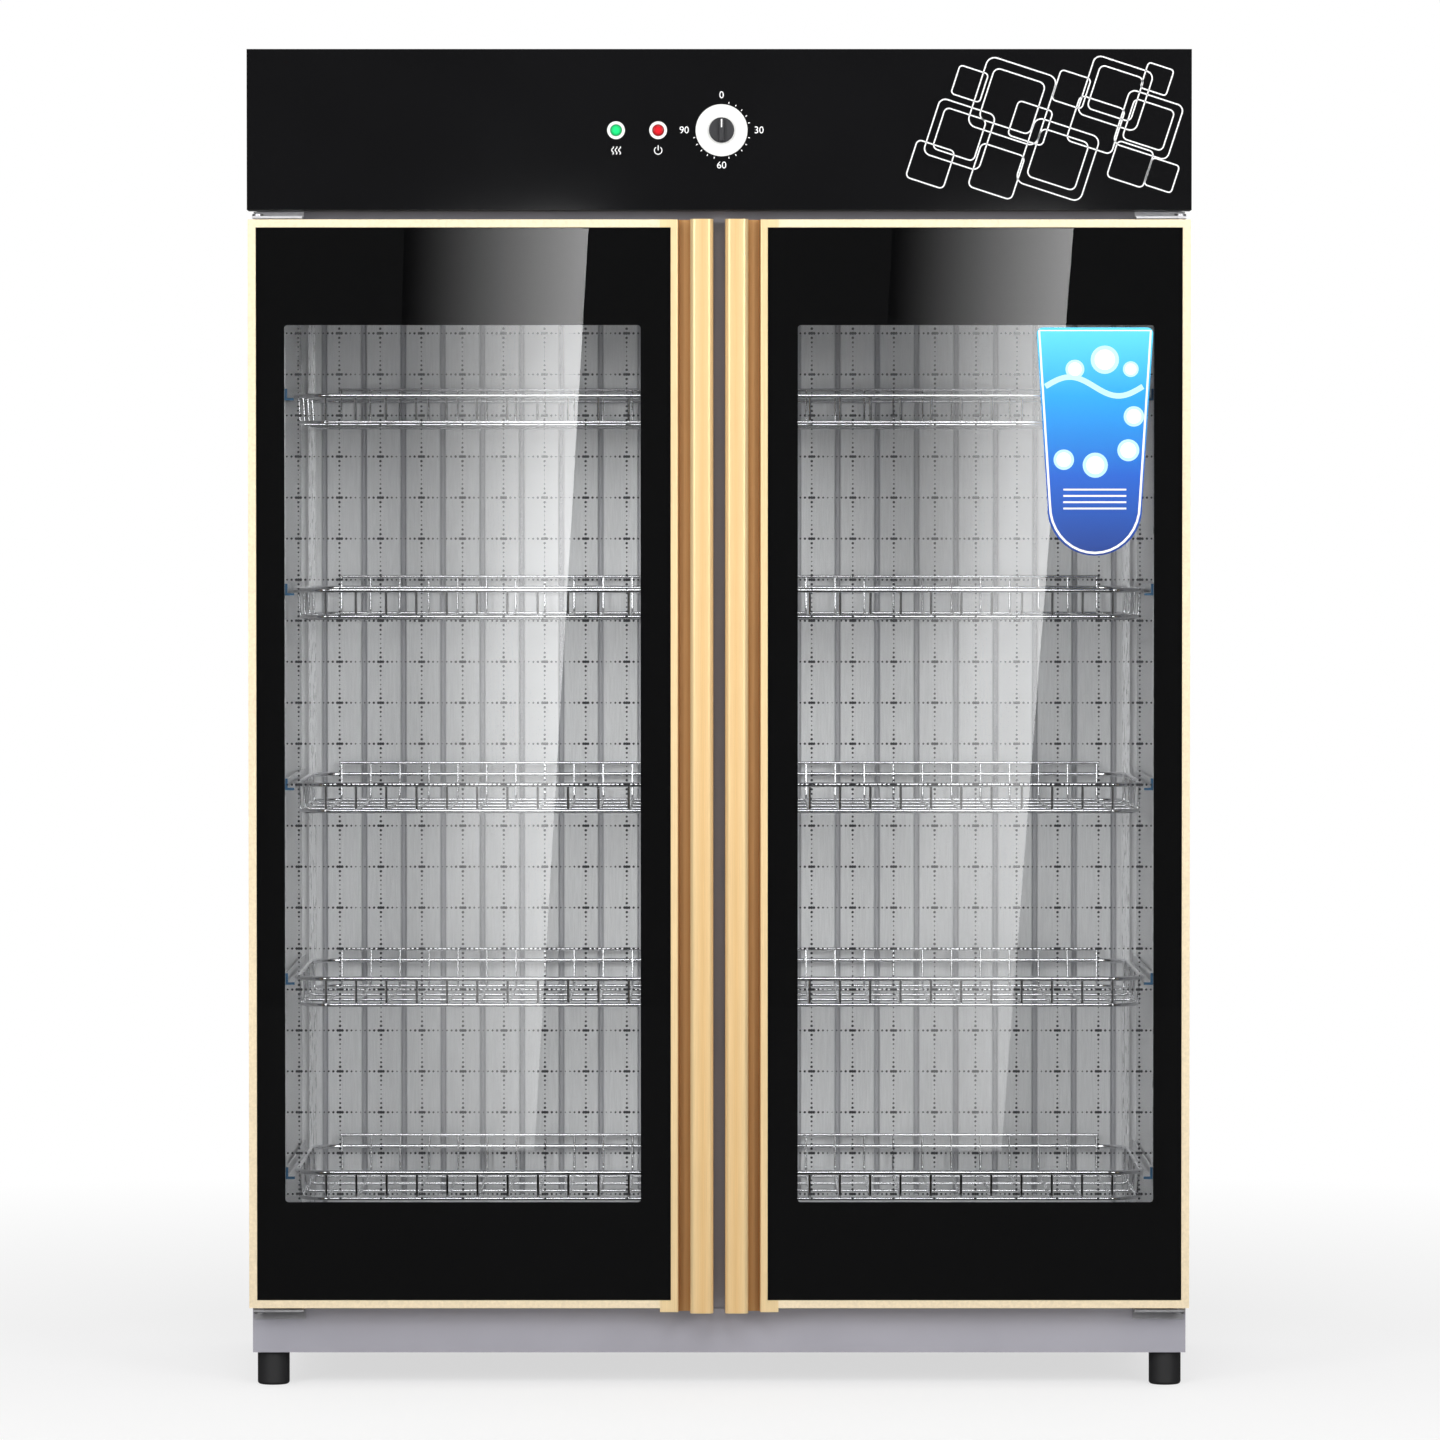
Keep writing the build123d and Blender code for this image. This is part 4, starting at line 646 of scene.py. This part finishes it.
world = bpy.data.worlds.new("studio_world")
bpy.context.scene.world = world
world.use_nodes = True
tree = world.node_tree
tree.nodes.clear()
path = tree.nodes.new("ShaderNodeLightPath")
seen = tree.nodes.new("ShaderNodeBackground")
seen.inputs["Color"].default_value = (1, 1, 1, 1)
ambient = tree.nodes.new("ShaderNodeBackground")
ambient.inputs["Color"].default_value = (1, 1, 1, 1)
ambient.inputs["Strength"].default_value = 0.55
mirrored = tree.nodes.new("ShaderNodeBackground")
mirrored.inputs["Color"].default_value = (1, 1, 1, 1)
mirrored.inputs["Strength"].default_value = 0.10
first_mix = tree.nodes.new("ShaderNodeMixShader")
second_mix = tree.nodes.new("ShaderNodeMixShader")
output = tree.nodes.new("ShaderNodeOutputWorld")
tree.links.new(path.outputs["Is Glossy Ray"], first_mix.inputs["Fac"])
tree.links.new(ambient.outputs["Background"], first_mix.inputs[1])
tree.links.new(mirrored.outputs["Background"], first_mix.inputs[2])
tree.links.new(path.outputs["Is Camera Ray"], second_mix.inputs["Fac"])
tree.links.new(first_mix.outputs["Shader"], second_mix.inputs[1])
tree.links.new(seen.outputs["Background"], second_mix.inputs[2])
tree.links.new(second_mix.outputs["Shader"], output.inputs["Surface"])

for name, place, power, size in (
    ("left_softbox", (-3.4, -6.2, 2.6), 150, 2.4),
    ("right_softbox", (3.4, -6.2, 2.6), 150, 2.4),
    ("low_softbox", (0.0, -6.5, 4.6), 110, 2.4),
):
    lamp = bpy.data.lights.new(name, "AREA")
    lamp.energy = power
    lamp.size = size
    holder = bpy.data.objects.new(name, lamp)
    holder.location = place
    aim = Vector((0, 0, 0.8)) - Vector(place)
    holder.rotation_euler = aim.to_track_quat("-Z", "Y").to_euler()
    bpy.context.scene.collection.objects.link(holder)

eye = Vector((0.0, -9.98, 1.10))
glass_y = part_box("right_door_glass")[0].y
card_y = -4.0
reach = (glass_y - card_y) / (glass_y - eye.y)


def card(name, top_left, top_right, foot_left, foot_right, top_glow, foot_glow):
    """Emissive card placed so that its mirror image in the doors has these corners on the glass."""
    data = bpy.data.meshes.new(name)
    corners = []
    for x, z in (foot_left, foot_right, top_right, top_left):
        corners.append((x + (x - eye.x) * reach, card_y, z + (z - eye.z) * reach))
    data.from_pydata(corners, [], [(0, 1, 2, 3)])
    glow = data.color_attributes.new("glow", "FLOAT_COLOR", "CORNER")
    for loop, value in enumerate((0.0, foot_glow, top_glow, 0.0)):
        glow.data[loop].color = (value, value, value, 1)
    material = bpy.data.materials.new(name)
    material.use_nodes = True
    tree = material.node_tree
    tree.nodes.clear()
    attribute = tree.nodes.new("ShaderNodeAttribute")
    attribute.attribute_name = "glow"
    power = tree.nodes.new("ShaderNodeMath")
    power.operation = "POWER"
    power.inputs[1].default_value = 1.6
    light = tree.nodes.new("ShaderNodeEmission")
    out = tree.nodes.new("ShaderNodeOutputMaterial")
    scale = tree.nodes.new("ShaderNodeMath")
    scale.operation = "MULTIPLY"
    scale.inputs[1].default_value = 9.0
    tree.links.new(attribute.outputs["Fac"], power.inputs[0])
    tree.links.new(power.outputs["Value"], scale.inputs[0])
    tree.links.new(scale.outputs["Value"], light.inputs["Strength"])
    tree.links.new(light.outputs["Emission"], out.inputs["Surface"])
    data.materials.append(material)
    piece = bpy.data.objects.new(name, data)
    bpy.context.scene.collection.objects.link(piece)
    piece.visible_camera = False
    piece.visible_diffuse = False
    piece.visible_shadow = False
    piece.visible_transmission = False


card("left_reflector", (-0.40, 1.479), (-0.166, 1.479), (-0.44, 0.115), (-0.247, 0.115), 1.0, 0.35)
card("right_reflector", (0.22, 1.479), (0.450, 1.479), (0.15, 0.115), (0.345, 0.115), 1.0, 0.35)

camera_data = bpy.data.cameras.new("camera")
camera = bpy.data.objects.new("camera", camera_data)
bpy.context.scene.collection.objects.link(camera)
bpy.context.scene.camera = camera
frame_width = 1.832
aim_z = 0.854
camera.location = eye
target = Vector((0.001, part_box("right_door_glass")[0].y, aim_z))
camera.rotation_euler = (target - eye).to_track_quat("-Z", "Y").to_euler()
camera_data.sensor_width = 36
camera_data.lens = 36 * (target - eye).length / frame_width
camera_data.clip_end = 60
bpy.context.scene.view_settings.view_transform = "Standard"
